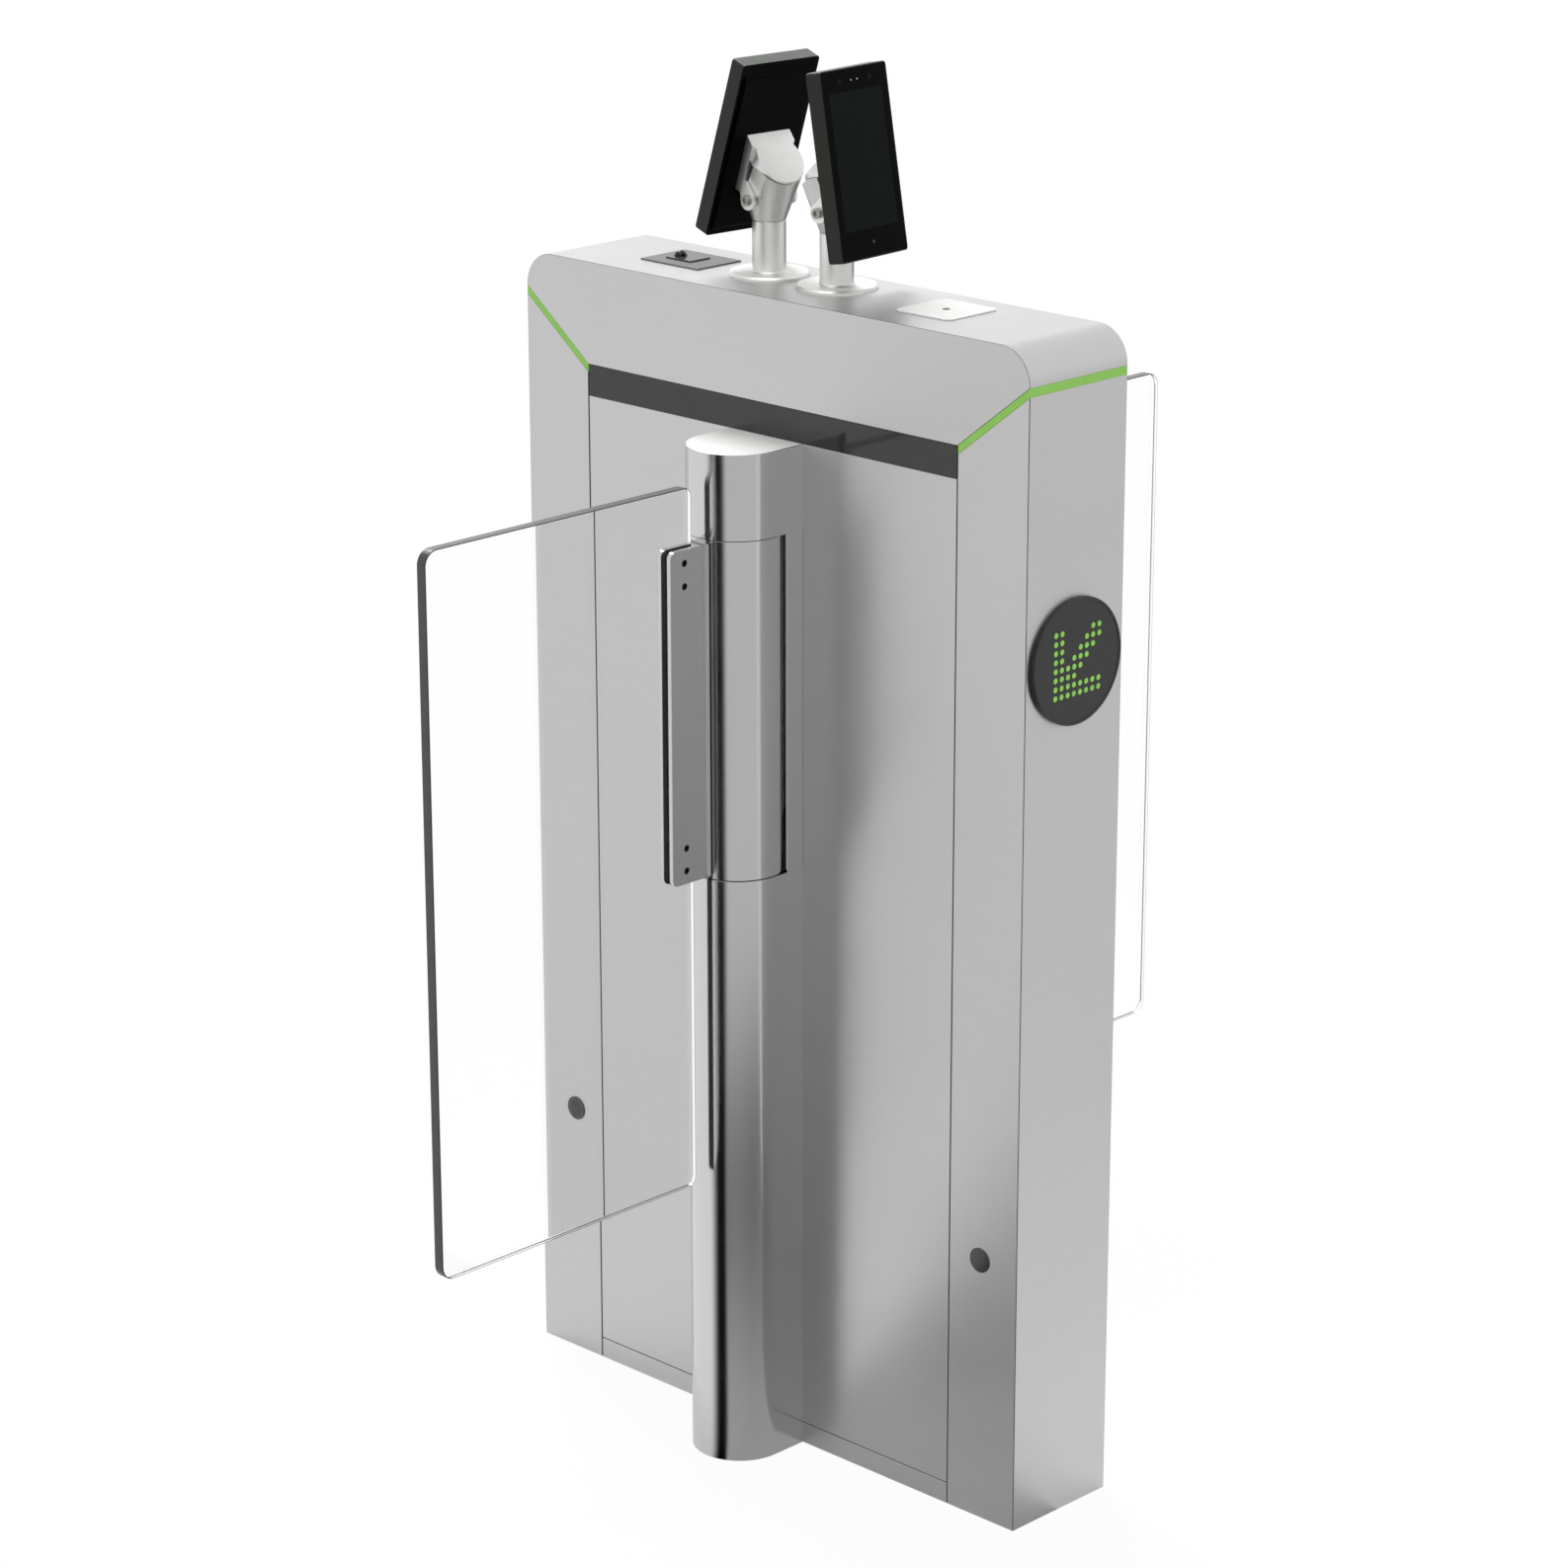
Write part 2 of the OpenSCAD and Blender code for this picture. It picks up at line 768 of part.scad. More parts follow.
// Wall of a column between two heights, open towards the cabinet
module column_wall(low, high) {
    translate([0, 0, low])
    difference() {
        intersection() {
            linear_extrude(high - low) column_outline(0);
            block([-column_radius, -cabinet_depth - column_reach, 0], [column_radius, -half_depth, high]);
        }
        translate([0, 0, -over]) linear_extrude(high - low + 2 * over) column_outline(sheet);
        block([-column_inner, -column_y, -over], [column_inner, 0, high - low + over]);
    }
}

module upper_housing() {
    column_wall(drum_top + seam / 2, band_bottom);
    translate([0, 0, band_bottom - sheet])
    intersection() {
        linear_extrude(sheet) column_outline(0);
        block([-column_radius, -cabinet_depth - column_reach, 0], [column_radius, -half_depth, sheet]);
    }
}

module front_upper_housing() {
    color(steel) upper_housing();
}

module back_upper_housing() {
    color(steel) rotate([0, 0, half_turn]) upper_housing();
}

module front_lower_housing() {
    color(steel) column_wall(0, drum_bottom - seam / 2);
}

module back_lower_housing() {
    color(steel) rotate([0, 0, half_turn]) column_wall(0, drum_bottom - seam / 2);
}

module side_plates() {
    low = drum_bottom - seam / 2;
    high = drum_top + seam / 2;
    color(steel) both_ways()
    difference() {
        for (side = [-1, 1])
            translate([side * (column_radius - sheet / 2), 0, 0])
                block([-sheet / 2, -side_plate_front, low], [sheet / 2, -half_depth, high]);
        translate([0, -column_y, low - over])
            cylinder(r = drum_radius + slip, h = high - low + 2 * over);
    }
}

// Drive
module carrier(z, bearing_z) {
    difference() {
        union() {
            translate([0, -column_y, z]) cylinder(r = carrier_radius, h = carrier_thickness);
            block(
                [-carrier_radius, -column_y, z],
                [carrier_radius, -sheet, z + carrier_thickness]
            );
        }
        translate([0, -column_y, bearing_z]) cylinder(d = bearing_d + 2 * fit, h = bearing_width + over);
        translate([0, -column_y, z - over])
            cylinder(d = bearing_d - 2 * bearing_shoulder, h = carrier_thickness + 2 * over);
    }
}

// Blocks that the stop peg meets at the ends of the swing
module stop_blocks() {
    height = carrier_gap - seam;
    for (side = [-1, 1])
        translate([side * stop_peg_radius, -column_y + stop_peg_d / 2 + slip, lower_carrier_top])
            block([-stop_block / 2, 0, -over], [stop_block / 2, stop_block, height]);
}

module bearing_carriers() {
    color(zinc) both_ways() {
        union() {
            carrier(lower_carrier_bottom, lower_carrier_top - bearing_width);
            stop_blocks();
        }
        carrier(upper_carrier_bottom, upper_carrier_top - bearing_width);
    }
}

module wing_bearings() {
    color(zinc) both_ways()
    for (z = [lower_carrier_top, upper_carrier_top])
        translate([0, -column_y, z - bearing_width])
        difference() {
            cylinder(d = bearing_d, h = bearing_width);
            translate([0, 0, -over]) cylinder(d = shaft_d + 2 * fit, h = bearing_width + 2 * over);
            for (face = [0, bearing_width])
                translate([0, 0, face - seal_step])
                difference() {
                    cylinder(d = bearing_d - 2 * bearing_ring, h = 2 * seal_step);
                    translate([0, 0, -over])
                        cylinder(d = shaft_d + 2 * bearing_ring, h = 2 * seal_step + 2 * over);
                }
        }
}

module gearboxes() {
    color(zinc) both_ways()
    translate([0, -column_y, lower_carrier_bottom - gearbox_height])
    difference() {
        union() {
            cylinder(d = motor_d, h = gearbox_height - gearbox_flange_t);
            translate([0, 0, gearbox_height - gearbox_flange_t])
                cylinder(d = motor_d + 2 * gearbox_flange, h = gearbox_flange_t);
        }
        translate([0, 0, gearbox_height - spigot_length - over])
            cylinder(d = spigot_d + 2 * fit, h = spigot_length + 2 * over);
    }
}

module drive_motors() {
    color(black) both_ways()
    translate([0, -column_y, lower_carrier_bottom - gearbox_height - motor_height]) {
        cylinder(d = motor_d - 2 * motor_cap_step, h = motor_cap);
        translate([0, 0, motor_cap]) cylinder(d = motor_d, h = motor_height - motor_cap);
        block(
            [-motor_box_width / 2, 0, motor_cap],
            [motor_box_width / 2, motor_d / 2 + motor_box_stand, 2 * motor_cap]
        );
    }
}

// Frame of reference of what is screwed to the end side of an upright, looking along +X
module upright_face(low) {
    translate([upright_x + upright_width, 0, low]) children();
}

module control_board() {
    back = standoff_length;
    front = back + board_thickness;
    color(board_green) rotate([0, 0, half_turn]) upright_face(board_low) {
        block([back, -board_width / 2, 0], [front, board_width / 2, board_height]);
        for (y = [-1, 1], z = [standoff_edge, board_height - standoff_edge])
            translate([0, y * (board_width / 2 - standoff_edge), z])
                rotate([0, 90, 0]) cylinder(d = standoff_d, h = back + board_thickness / 2);
        for (z = [standoff_edge : relay_pitch : board_height - standoff_edge - relay_height])
            block(
                [back + board_thickness / 2, -relay_width / 2, z],
                [front + relay_stand, relay_width / 2, z + relay_height]
            );
    }
}

module power_supply() {
    color(zinc) upright_face(supply_low)
    difference() {
        block([0, -supply_width / 2, 0], [supply_depth, supply_width / 2, supply_height]);
        for (z = [slot_edge : slot_pitch : supply_height - slot_edge])
            block(
                [supply_depth - slot_depth, -supply_width / 2 + slot_edge, z],
                [supply_depth + over, supply_width / 2 - slot_edge, z + slot_height]
            );
    }
}

// Readers in the top
module scanner_plate() {
    color(dark_grey) translate([scanner_x, reader_y, cabinet_height]) {
        block(
            [-scanner_length / 2, -scanner_width / 2, 0],
            [scanner_length / 2, scanner_width / 2, reader_plate]
        );
        block(
            [-scanner_length / 2 + reader_rim + slip, -scanner_width / 2 + reader_rim + slip, -reader_body],
            [scanner_length / 2 - reader_rim - slip, scanner_width / 2 - reader_rim - slip, over / 2]
        );
    }
}

module scanner_dome_place() {
    translate([
        scanner_x - window_shift - window_length / 2 + dome_r,
        reader_y,
        cabinet_height + reader_plate
    ])
        children();
}

module scanner_window() {
    color(black)
    difference() {
        translate([scanner_x - window_shift, reader_y, cabinet_height + reader_plate])
            block(
                [-window_length / 2, -window_width / 2, 0],
                [window_length / 2, window_width / 2, window_stand]
            );
        scanner_dome_place()
            translate([0, 0, -over]) cylinder(r = dome_r + fit, h = window_stand + 2 * over);
    }
}

module scanner_dome() {
    color(black) scanner_dome_place()
    intersection() {
        sphere(r = dome_r);
        cylinder(r = 2 * dome_r, h = 2 * dome_r);
    }
}

module card_reader_plate() {
    half = card_side / 2;
    color(pale_steel) translate([card_x, reader_y, cabinet_height])
    difference() {
        union() {
            for (x = [-1, 1], y = [-1, 1])
                translate([x * (half - card_corner), y * (half - card_corner), 0])
                    cylinder(r = card_corner, h = reader_plate);
            block([-half, -half + card_corner, 0], [half, half - card_corner, reader_plate]);
            block([-half + card_corner, -half, 0], [half - card_corner, half, reader_plate]);
            block(
                [-half + reader_rim + slip, -half + reader_rim + slip, -reader_body],
                [half - reader_rim - slip, half - reader_rim - slip, reader_plate / 2]
            );
        }
        cylinder(d = eye_d + 2 * fit, h = reader_plate + over);
    }
}

module card_reader_eye() {
    color(black) translate([card_x, reader_y, cabinet_height])
        cylinder(d = eye_d, h = reader_plate + eye_stand);
}

// Stands of the terminals
module pole_stands() {
    outer = pole_d / 2;
    inner = outer - pole_wall;
    color(pale_steel)
    for (x = [left_pole_x, right_pole_x])
        translate([x, pole_y, cabinet_height])
        rotate_extrude()
        polygon([
            [inner, 0],
            [flange_d / 2, 0],
            [flange_d / 2, flange_thickness - flange_bevel],
            [flange_d / 2 - flange_bevel, flange_thickness],
            [outer + flange_bevel, flange_thickness],
            [outer, flange_thickness + flange_bevel],
            [outer, pole_height],
            [inner, pole_height]
        ]);
}

// Places of the moving parts of each terminal: the pivot is at the origin and the
// terminal looks along +X
module left_place() {
    translate([left_pole_x, pole_y, pivot_z]) rotate([0, 0, half_turn + left_pan]) children();
}

module right_place() {
    translate([right_pole_x, pole_y, pivot_z]) rotate([0, 0, right_pan]) children();
}

module neck() {
    outer = pole_d / 2;
    bottom = slip - pivot_rise;
    top = neck_dome + over;
    difference() {
        union() {
            intersection() {
                translate([0, 0, bottom])
                    cylinder(
                        r1 = outer,
                        r2 = outer + neck_slope_share * (top - bottom),
                        h = top - bottom
                    );
                union() {
                    rotate([90, 0, 0]) cylinder(r = neck_dome, h = 2 * neck_half, center = true);
                    block([-neck_dome, -neck_half, bottom], [neck_dome, neck_half, 0]);
                }
                block([-2 * neck_dome, -neck_half, bottom], [2 * neck_dome, neck_half, top]);
            }
            translate([0, 0, bottom - neck_spigot])
                cylinder(r = outer - pole_wall - fit, h = neck_spigot + over);
        }
        for (tilt = [0, max_tilt])
            rotate([0, -tilt, 0])
                block([plate_back - 2 * slip, -pole_d, -over], [pole_d * 2, pole_d, 2 * neck_dome]);
        block([plate_front - over, -pole_d, bottom], [pole_d, pole_d, top]);
        rotate([90, 0, 0]) cylinder(d = pivot_d + 2 * fit, h = 4 * neck_half, center = true);
        translate([0, 0, bottom - neck_spigot - over])
            cylinder(d = neck_bore_d, h = neck_spigot + pivot_rise + over);
    }
}

module bracket_ear() {
    linear_extrude(ear_thickness) {
        circle(r = ear_radius);
        polygon([
            [ear_radius * ear_side_shares[0], ear_radius * ear_height_shares[0]],
            [plate_back, plate_top * ear_top_share],
            [plate_back + over, plate_top * ear_top_share],
            [plate_back + over, plate_low],
            [ear_radius * ear_side_shares[1], ear_radius * ear_height_shares[1]]
        ]);
    }
}

// Flat cap with a round end, a bridge that flares out to the plate, and a skirt that is
// hollowed out round the neck's dome
module cap() {
    low = cap_distance - cap_skirt;
    reach = cap_shift + cap_radius + cap_thickness;
    difference() {
        rotate([0, -cap_lean, 0]) {
            block([cap_shift, -cap_bridge_half, low], [reach, cap_bridge_half, cap_outer]);
            translate([cap_shift, 0, low]) cylinder(r = cap_radius, h = cap_outer - low);
            for (side = [0, 1])
                mirror([0, side, 0])
                    difference() {
                        block(
                            [flare_end - cap_flare, 0, low],
                            [reach, cap_bridge_half + cap_flare, cap_outer]
                        );
                        translate([flare_end - cap_flare, cap_bridge_half + cap_flare, low - over])
                            cylinder(r = cap_flare, h = cap_outer - low + 2 * over);
                    }
        }
        rotate([90, 0, 0]) cylinder(r = cap_distance, h = 2 * plate_half + over, center = true);
    }
}

module bracket() {
    difference() {
        union() {
            intersection() {
                union() {
                    block([plate_back, -plate_half, plate_low], [plate_front, plate_half, plate_top]);
                    cap();
                }
                rotate([0, -cap_lean, 0])
                    block([-plate_top, -plate_half, -plate_top], [2 * plate_top, plate_half, cap_outer]);
                block([-plate_top, -plate_half, -plate_top], [plate_front, plate_half, 2 * plate_top]);
            }
            for (side = [-1, 1])
                translate([0, side * (neck_half + ear_gap + ear_thickness / 2), 0])
                    rotate([90, 0, 0]) translate([0, 0, -ear_thickness / 2]) bracket_ear();
        }
        rotate([90, 0, 0])
            cylinder(d = pivot_d + 2 * fit, h = 4 * neck_half, center = true);
    }
}

module pivot_screw() {
    reach = neck_half + ear_gap + ear_thickness;
    rotate([90, 0, 0])
    difference() {
        union() {
            cylinder(d = pivot_d, h = 2 * reach + over, center = true);
            translate([0, 0, reach]) cylinder(d = pivot_head_d, h = pivot_head_t);
            translate([0, 0, -reach - pivot_head_t])
                cylinder(d = pivot_head_d, h = pivot_head_t, $fn = 6);
        }
        translate([0, 0, reach + pivot_head_t / 2])
            cylinder(d = pivot_d - sheet / 2, h = pivot_head_t, $fn = 6);
    }
}

// Rounded slab that stands upright, seen from the front
module slab(back, front, half_width, low, high, corner) {
    for (y = [-1, 1], z = [low + corner, high - corner])
        translate([back, y * (half_width - corner), z])
            rotate([0, 90, 0]) cylinder(r = corner, h = front - back);
    block([back, -half_width, low + corner], [front, half_width, high - corner]);
    block([back, -half_width + corner, low], [front, half_width - corner, high]);
}

module terminal_case() {
    half = terminal_width / 2;
    back = terminal_back + back_cover_t;
    glass_back = terminal_front - front_glass_t;
    difference() {
        union() {
            slab(back, terminal_front, half, terminal_low, terminal_high, terminal_corner);
            across(terminal_width - back_cover_step)
                polygon([
                    [back + over, terminal_low + back_cover_step / 2],
                    [back, terminal_low + back_cover_step / 2],
                    [terminal_back, terminal_low + back_cover_step / 2 + back_cover_t],
                    [terminal_back, terminal_high - back_cover_step - back_cover_t],
                    [back, terminal_high - back_cover_step],
                    [back + over, terminal_high - back_cover_step]
                ]);
        }
        block(
            [glass_back, -half + case_rim, terminal_low + case_rim],
            [terminal_front + over, half - case_rim, terminal_high - case_rim]
        );
        block(
            [back + case_wall, -half + case_rim + case_wall, terminal_low + case_rim + case_wall],
            [terminal_front, half - case_rim - case_wall, terminal_high - case_rim - case_wall]
        );
    }
}

module terminal_glass() {
    inset = case_rim + fit;
    block(
        [terminal_front - front_glass_t, -terminal_width / 2 + inset, terminal_low + inset],
        [terminal_front, terminal_width / 2 - inset, terminal_high - inset]
    );
}

module left_neck() {
    color(pale_steel) left_place() neck();
}

module left_bracket() {
    color(pale_steel) left_place() rotate([0, -left_tilt, 0]) bracket();
}

module left_pivot_screw() {
    color(zinc) left_place() mirror([0, 1, 0]) rotate([0, -left_tilt, 0]) pivot_screw();
}

module left_terminal_case() {
    color(black) left_place() rotate([0, -left_tilt, 0]) terminal_case();
}

module left_terminal_glass() {
    color(black) left_place() rotate([0, -left_tilt, 0]) terminal_glass();
}

module right_neck() {
    color(pale_steel) right_place() neck();
}

module right_bracket() {
    color(pale_steel) right_place() rotate([0, -right_tilt, 0]) bracket();
}

module right_pivot_screw() {
    color(zinc) right_place() rotate([0, -right_tilt, 0]) pivot_screw();
}

module right_terminal_case() {
    color(black) right_place() rotate([0, -right_tilt, 0]) terminal_case();
}

module right_terminal_glass() {
    color(black) right_place() rotate([0, -right_tilt, 0]) terminal_glass();
}

// Wings
module drum() {
    translate([0, -column_y, drum_bottom + seam / 2])
    difference() {
        cylinder(r = drum_radius, h = drum_height - seam);
        translate([0, 0, -over]) cylinder(r = drum_inner, h = drum_height + 2 * over);
    }
    block(
        [-blade_thickness / 2, -column_y - blade_end, clamp_bottom],
        [blade_thickness / 2, -column_y - drum_inner - sheet / 2, clamp_top]
    );
}

module drum_hubs() {
    for (z = [hub_low, hub_high])
        translate([0, -column_y, z])
        difference() {
            cylinder(r = drum_inner - fit, h = hub_thickness);
            translate([0, 0, -over]) cylinder(d = shaft_d + 2 * fit, h = hub_thickness + 2 * over);
        }
    translate([0, -column_y - stop_peg_radius, lower_carrier_top + seam])
        cylinder(d = stop_peg_d, h = hub_low - lower_carrier_top);
}

module wing_shaft() {
    translate([0, -column_y, lower_carrier_bottom + slip])
        cylinder(d = shaft_d, h = upper_carrier_top - lower_carrier_bottom);
    translate([0, -column_y, lower_carrier_bottom - spigot_length])
        cylinder(d = spigot_d, h = spigot_length + over);
}

// Rounded plate in the wing's plane, from one face to the other
module wing_plate(low_x, high_x, near, far, low, high, near_corner, far_corner) {
    translate([low_x, -column_y, 0]) {
        for (z = [low + near_corner, high - near_corner])
            translate([0, -near - near_corner, z])
                rotate([0, 90, 0]) cylinder(r = near_corner, h = high_x - low_x);
        for (z = [low + far_corner, high - far_corner])
            translate([0, -far + far_corner, z])
                rotate([0, 90, 0]) cylinder(r = far_corner, h = high_x - low_x);
        block([0, -far + far_corner, low], [high_x - low_x, -near - near_corner, high]);
        block([0, -near - near_corner, low + near_corner], [high_x - low_x, -near, high - near_corner]);
        block([0, -far, low + far_corner], [high_x - low_x, -far + far_corner, high - far_corner]);
    }
}

// Places of the clamp's screws along X
module each_clamp_screw() {
    for (z = [
        clamp_bottom + clamp_screw_end,
        clamp_bottom + clamp_screw_end + clamp_screw_pitch,
        clamp_top - clamp_screw_end - clamp_screw_pitch,
        clamp_top - clamp_screw_end
    ])
        translate([0, -column_y - clamp_end + clamp_screw_edge, z]) rotate([0, 90, 0]) children();
}

module glass_wing() {
    difference() {
        wing_plate(
            -glass_thickness / 2, glass_thickness / 2,
            glass_start, glass_start + glass_length,
            glass_bottom, glass_top,
            glass_inner_corner, glass_corner
        );
        each_clamp_screw()
            cylinder(d = clamp_screw_d + 2 * slip, h = glass_thickness + 2 * over, center = true);
    }
}

module clamp_plates() {
    inner = blade_thickness / 2;
    difference() {
        for (x = [inner, -inner - clamp_plate])
            wing_plate(
                x, x + clamp_plate, clamp_start, clamp_end, clamp_bottom, clamp_top,
                slip, clamp_corner
            );
        each_clamp_screw()
            cylinder(d = clamp_screw_d + 2 * fit, h = 2 * blade_thickness, center = true);
    }
}

module glass_gaskets() {
    inner = glass_thickness / 2;
    difference() {
        for (x = [inner, -inner - gasket])
            wing_plate(
                x, x + gasket, glass_start, clamp_end, clamp_bottom, clamp_top,
                slip, clamp_corner
            );
        each_clamp_screw()
            cylinder(d = clamp_screw_d + 2 * slip, h = 2 * blade_thickness, center = true);
    }
}

module clamp_screws() {
    length = blade_thickness + 2 * clamp_plate - slip;
    each_clamp_screw()
    difference() {
        cylinder(d = clamp_screw_d, h = length, center = true);
        for (end = [-length / 2, length / 2])
            translate([0, 0, end]) cylinder(d = clamp_screw_d / 2, h = clamp_plate, center = true, $fn = 6);
    }
}

module front_drum() {
    color(steel) drum();
}

module front_drum_hubs() {
    color(zinc) drum_hubs();
}

module front_wing_shaft() {
    color(zinc) wing_shaft();
}

module front_clamp_plates() {
    color(steel) clamp_plates();
}

module front_glass_gaskets() {
    color(black) glass_gaskets();
}

module front_glass_wing() {
    color(clear_glass) glass_wing();
}

module front_clamp_screws() {
    color(dark_grey) clamp_screws();
}

module back_drum() {
    color(steel) rotate([0, 0, half_turn]) drum();
}

module back_drum_hubs() {
    color(zinc) rotate([0, 0, half_turn]) drum_hubs();
}

module back_wing_shaft() {
    color(zinc) rotate([0, 0, half_turn]) wing_shaft();
}

module back_clamp_plates() {
    color(steel) rotate([0, 0, half_turn]) clamp_plates();
}

module back_glass_gaskets() {
    color(black) rotate([0, 0, half_turn]) glass_gaskets();
}

module back_glass_wing() {
    color(clear_glass) rotate([0, 0, half_turn]) glass_wing();
}

module back_clamp_screws() {
    color(dark_grey) rotate([0, 0, half_turn]) clamp_screws();
}

base_plate();
uprights();
top_beam();
cross_rails();
left_end_post();
right_end_post();
front_panel();
back_panel();
plinth_strips();
top_cover();
light_bands();
left_light_strip();
right_light_strip();
sensor_lenses();
sensor_barrels();
arrow_bezels();
arrow_windows();
arrow_leds();
front_upper_housing();
back_upper_housing();
front_lower_housing();
back_lower_housing();
side_plates();
bearing_carriers();
wing_bearings();
drive_motors();
gearboxes();
control_board();
power_supply();
scanner_plate();
scanner_window();
scanner_dome();
card_reader_plate();
card_reader_eye();
pole_stands();
front_drum();
front_drum_hubs();
front_wing_shaft();
front_clamp_plates();
front_glass_gaskets();
front_glass_wing();
front_clamp_screws();
back_drum();
back_drum_hubs();
back_wing_shaft();
back_clamp_plates();
back_glass_gaskets();
back_glass_wing();
back_clamp_screws();
left_neck();
left_bracket();
left_pivot_screw();
left_terminal_case();
left_terminal_glass();
right_neck();
right_bracket();
right_pivot_screw();
right_terminal_case();
right_terminal_glass();
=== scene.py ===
"""Swing turnstile: the looks of a slim cabinet with two glass wings and two face terminals.

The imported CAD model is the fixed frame. Each sub-assembly is a class that shapes its own pieces
in that frame, in metres, and dresses them in finishes named for the real material.
"""

import logging
import math
from collections.abc import Sequence
from dataclasses import dataclass, field
from enum import Enum

import bmesh
import bpy
from mathutils import Matrix, Vector


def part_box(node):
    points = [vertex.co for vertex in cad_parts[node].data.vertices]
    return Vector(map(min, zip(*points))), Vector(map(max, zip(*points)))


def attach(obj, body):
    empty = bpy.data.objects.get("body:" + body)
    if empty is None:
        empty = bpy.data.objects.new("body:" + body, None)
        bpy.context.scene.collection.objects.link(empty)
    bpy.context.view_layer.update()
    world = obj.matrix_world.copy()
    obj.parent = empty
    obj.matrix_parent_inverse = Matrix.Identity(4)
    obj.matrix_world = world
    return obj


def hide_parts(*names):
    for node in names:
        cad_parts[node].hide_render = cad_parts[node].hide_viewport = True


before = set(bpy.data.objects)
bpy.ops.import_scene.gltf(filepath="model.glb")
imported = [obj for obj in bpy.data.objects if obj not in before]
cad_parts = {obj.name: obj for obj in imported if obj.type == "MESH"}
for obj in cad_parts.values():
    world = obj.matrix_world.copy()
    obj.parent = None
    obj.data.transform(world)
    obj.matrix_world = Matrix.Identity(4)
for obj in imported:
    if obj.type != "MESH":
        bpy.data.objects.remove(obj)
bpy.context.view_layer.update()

log = logging.getLogger("turnstile")

MM = 0.001
UP = Vector((0, 0, 1))

# Points nearer than this are one: in a copy of a CAD node, and on the axis of a turned piece
WELD = 2e-6
AXIS_WELD = 1e-7
# Faces that meet at less than this are one flat face
FLAT = math.radians(0.4)
# Share of a direction along an axis past which it lies along that axis, or faces its way
ALONG = 0.99
FACING = 0.9
# Shares of an eased rim's width and height at each point of its profile
RIM_POINTS = ((1.0, 0.0), (0.3, 0.3), (0.0, 1.0))
# How much a large face counts against a small one in the shading of a smooth edge
FACE_WEIGHT = 80
# Where most of a noise's values lie, for the node that maps them, and what each octave adds
FROM_NOISE = {"From Min": 0.3, "From Max": 0.7}
NOISE_ROUGHNESS = 0.55
# Soda-lime float glass
GLASS_IOR = 1.52

Tree = bpy.types.NodeTree
Node = bpy.types.Node
Socket = bpy.types.NodeSocket
Material = bpy.types.Material
Settings = dict[str | int, object]
Range = tuple[float, float]
Point = tuple[float, float]


class Axis(Enum):
    """One of the three directions of the row frame."""

    X = 0
    Y = 1
    Z = 2


# Colours and nodes


def linear(hex_text: str) -> tuple[float, float, float, float]:
    """Turns an sRGB hex value into linear red, green, blue and alpha.

    Args:
        hex_text: Six hex digits with or without a leading hash.

    Returns:
        The colour as four numbers, with alpha 1.
    """
    digits = hex_text.lstrip("#")
    channels = [int(digits[i : i + 2], 16) / 255 for i in (0, 2, 4)]
    red, green, blue = (
        c / 12.92 if c <= 0.04045 else ((c + 0.055) / 1.055) ** 2.4 for c in channels
    )
    return red, green, blue, 1.0


def add_node(tree: Tree, kind: str, settings: Settings | None = None) -> Node:
    """Adds a node with its settings and links.

    Args:
        tree: The node tree that gets the node.
        kind: The node's type name without its first words, "ShaderNode".
        settings: Values by property name, or by input name or number. A socket is linked.

    Returns:
        The new node.
    """
    node = tree.nodes.new(f"ShaderNode{kind}")
    for name, value in (settings or {}).items():
        is_input = isinstance(name, int) or name in node.inputs
        if isinstance(value, Socket):
            tree.links.new(value, node.inputs[name])
        elif is_input:
            node.inputs[name].default_value = value
        else:
            setattr(node, name, value)
    return node


def new_material(name: str, constants: Settings) -> tuple[Material, Tree, Node]:
    """Makes a node material with a Principled shader.

    Args:
        name: The material's name.
        constants: The shader's constant inputs.

    Returns:
        The material, its node tree and its shader node.
    """
    material = bpy.data.materials.new(name)
    material.use_nodes = True
    tree = material.node_tree
    tree.nodes.clear()
    shader = add_node(tree, "BsdfPrincipled", constants)
    add_node(tree, "OutputMaterial", {"Surface": shader.outputs[0]})
    return material, tree, shader


def object_noise(tree: Tree, size_mm: Sequence[float], detail: float = 2.0) -> Socket:
    """Adds a noise on Object coordinates.

    Args:
        tree: The node tree.
        size_mm: Size of the noise's features along X, Y and Z in millimetres.
        detail: Octaves of finer noise.

    Returns:
        The noise's value socket, from 0 to 1.
    """
    place = add_node(tree, "TexCoord").outputs["Object"]
    scale = tuple(1 / (size * MM) for size in size_mm)
    vector = add_node(tree, "Mapping", {"Vector": place, "Scale": scale}).outputs[0]
    settings = {"Vector": vector, "Scale": 1.0, "Detail": detail, "Roughness": NOISE_ROUGHNESS}
    return add_node(tree, "TexNoise", settings).outputs[0]


def show(tree: Tree, surface: Socket) -> None:
    """Makes a shader the material's surface, in place of the one before."""
    output = next(n for n in tree.nodes if n.bl_idname == "ShaderNodeOutputMaterial")
    tree.links.new(surface, output.inputs["Surface"])


# Finishes


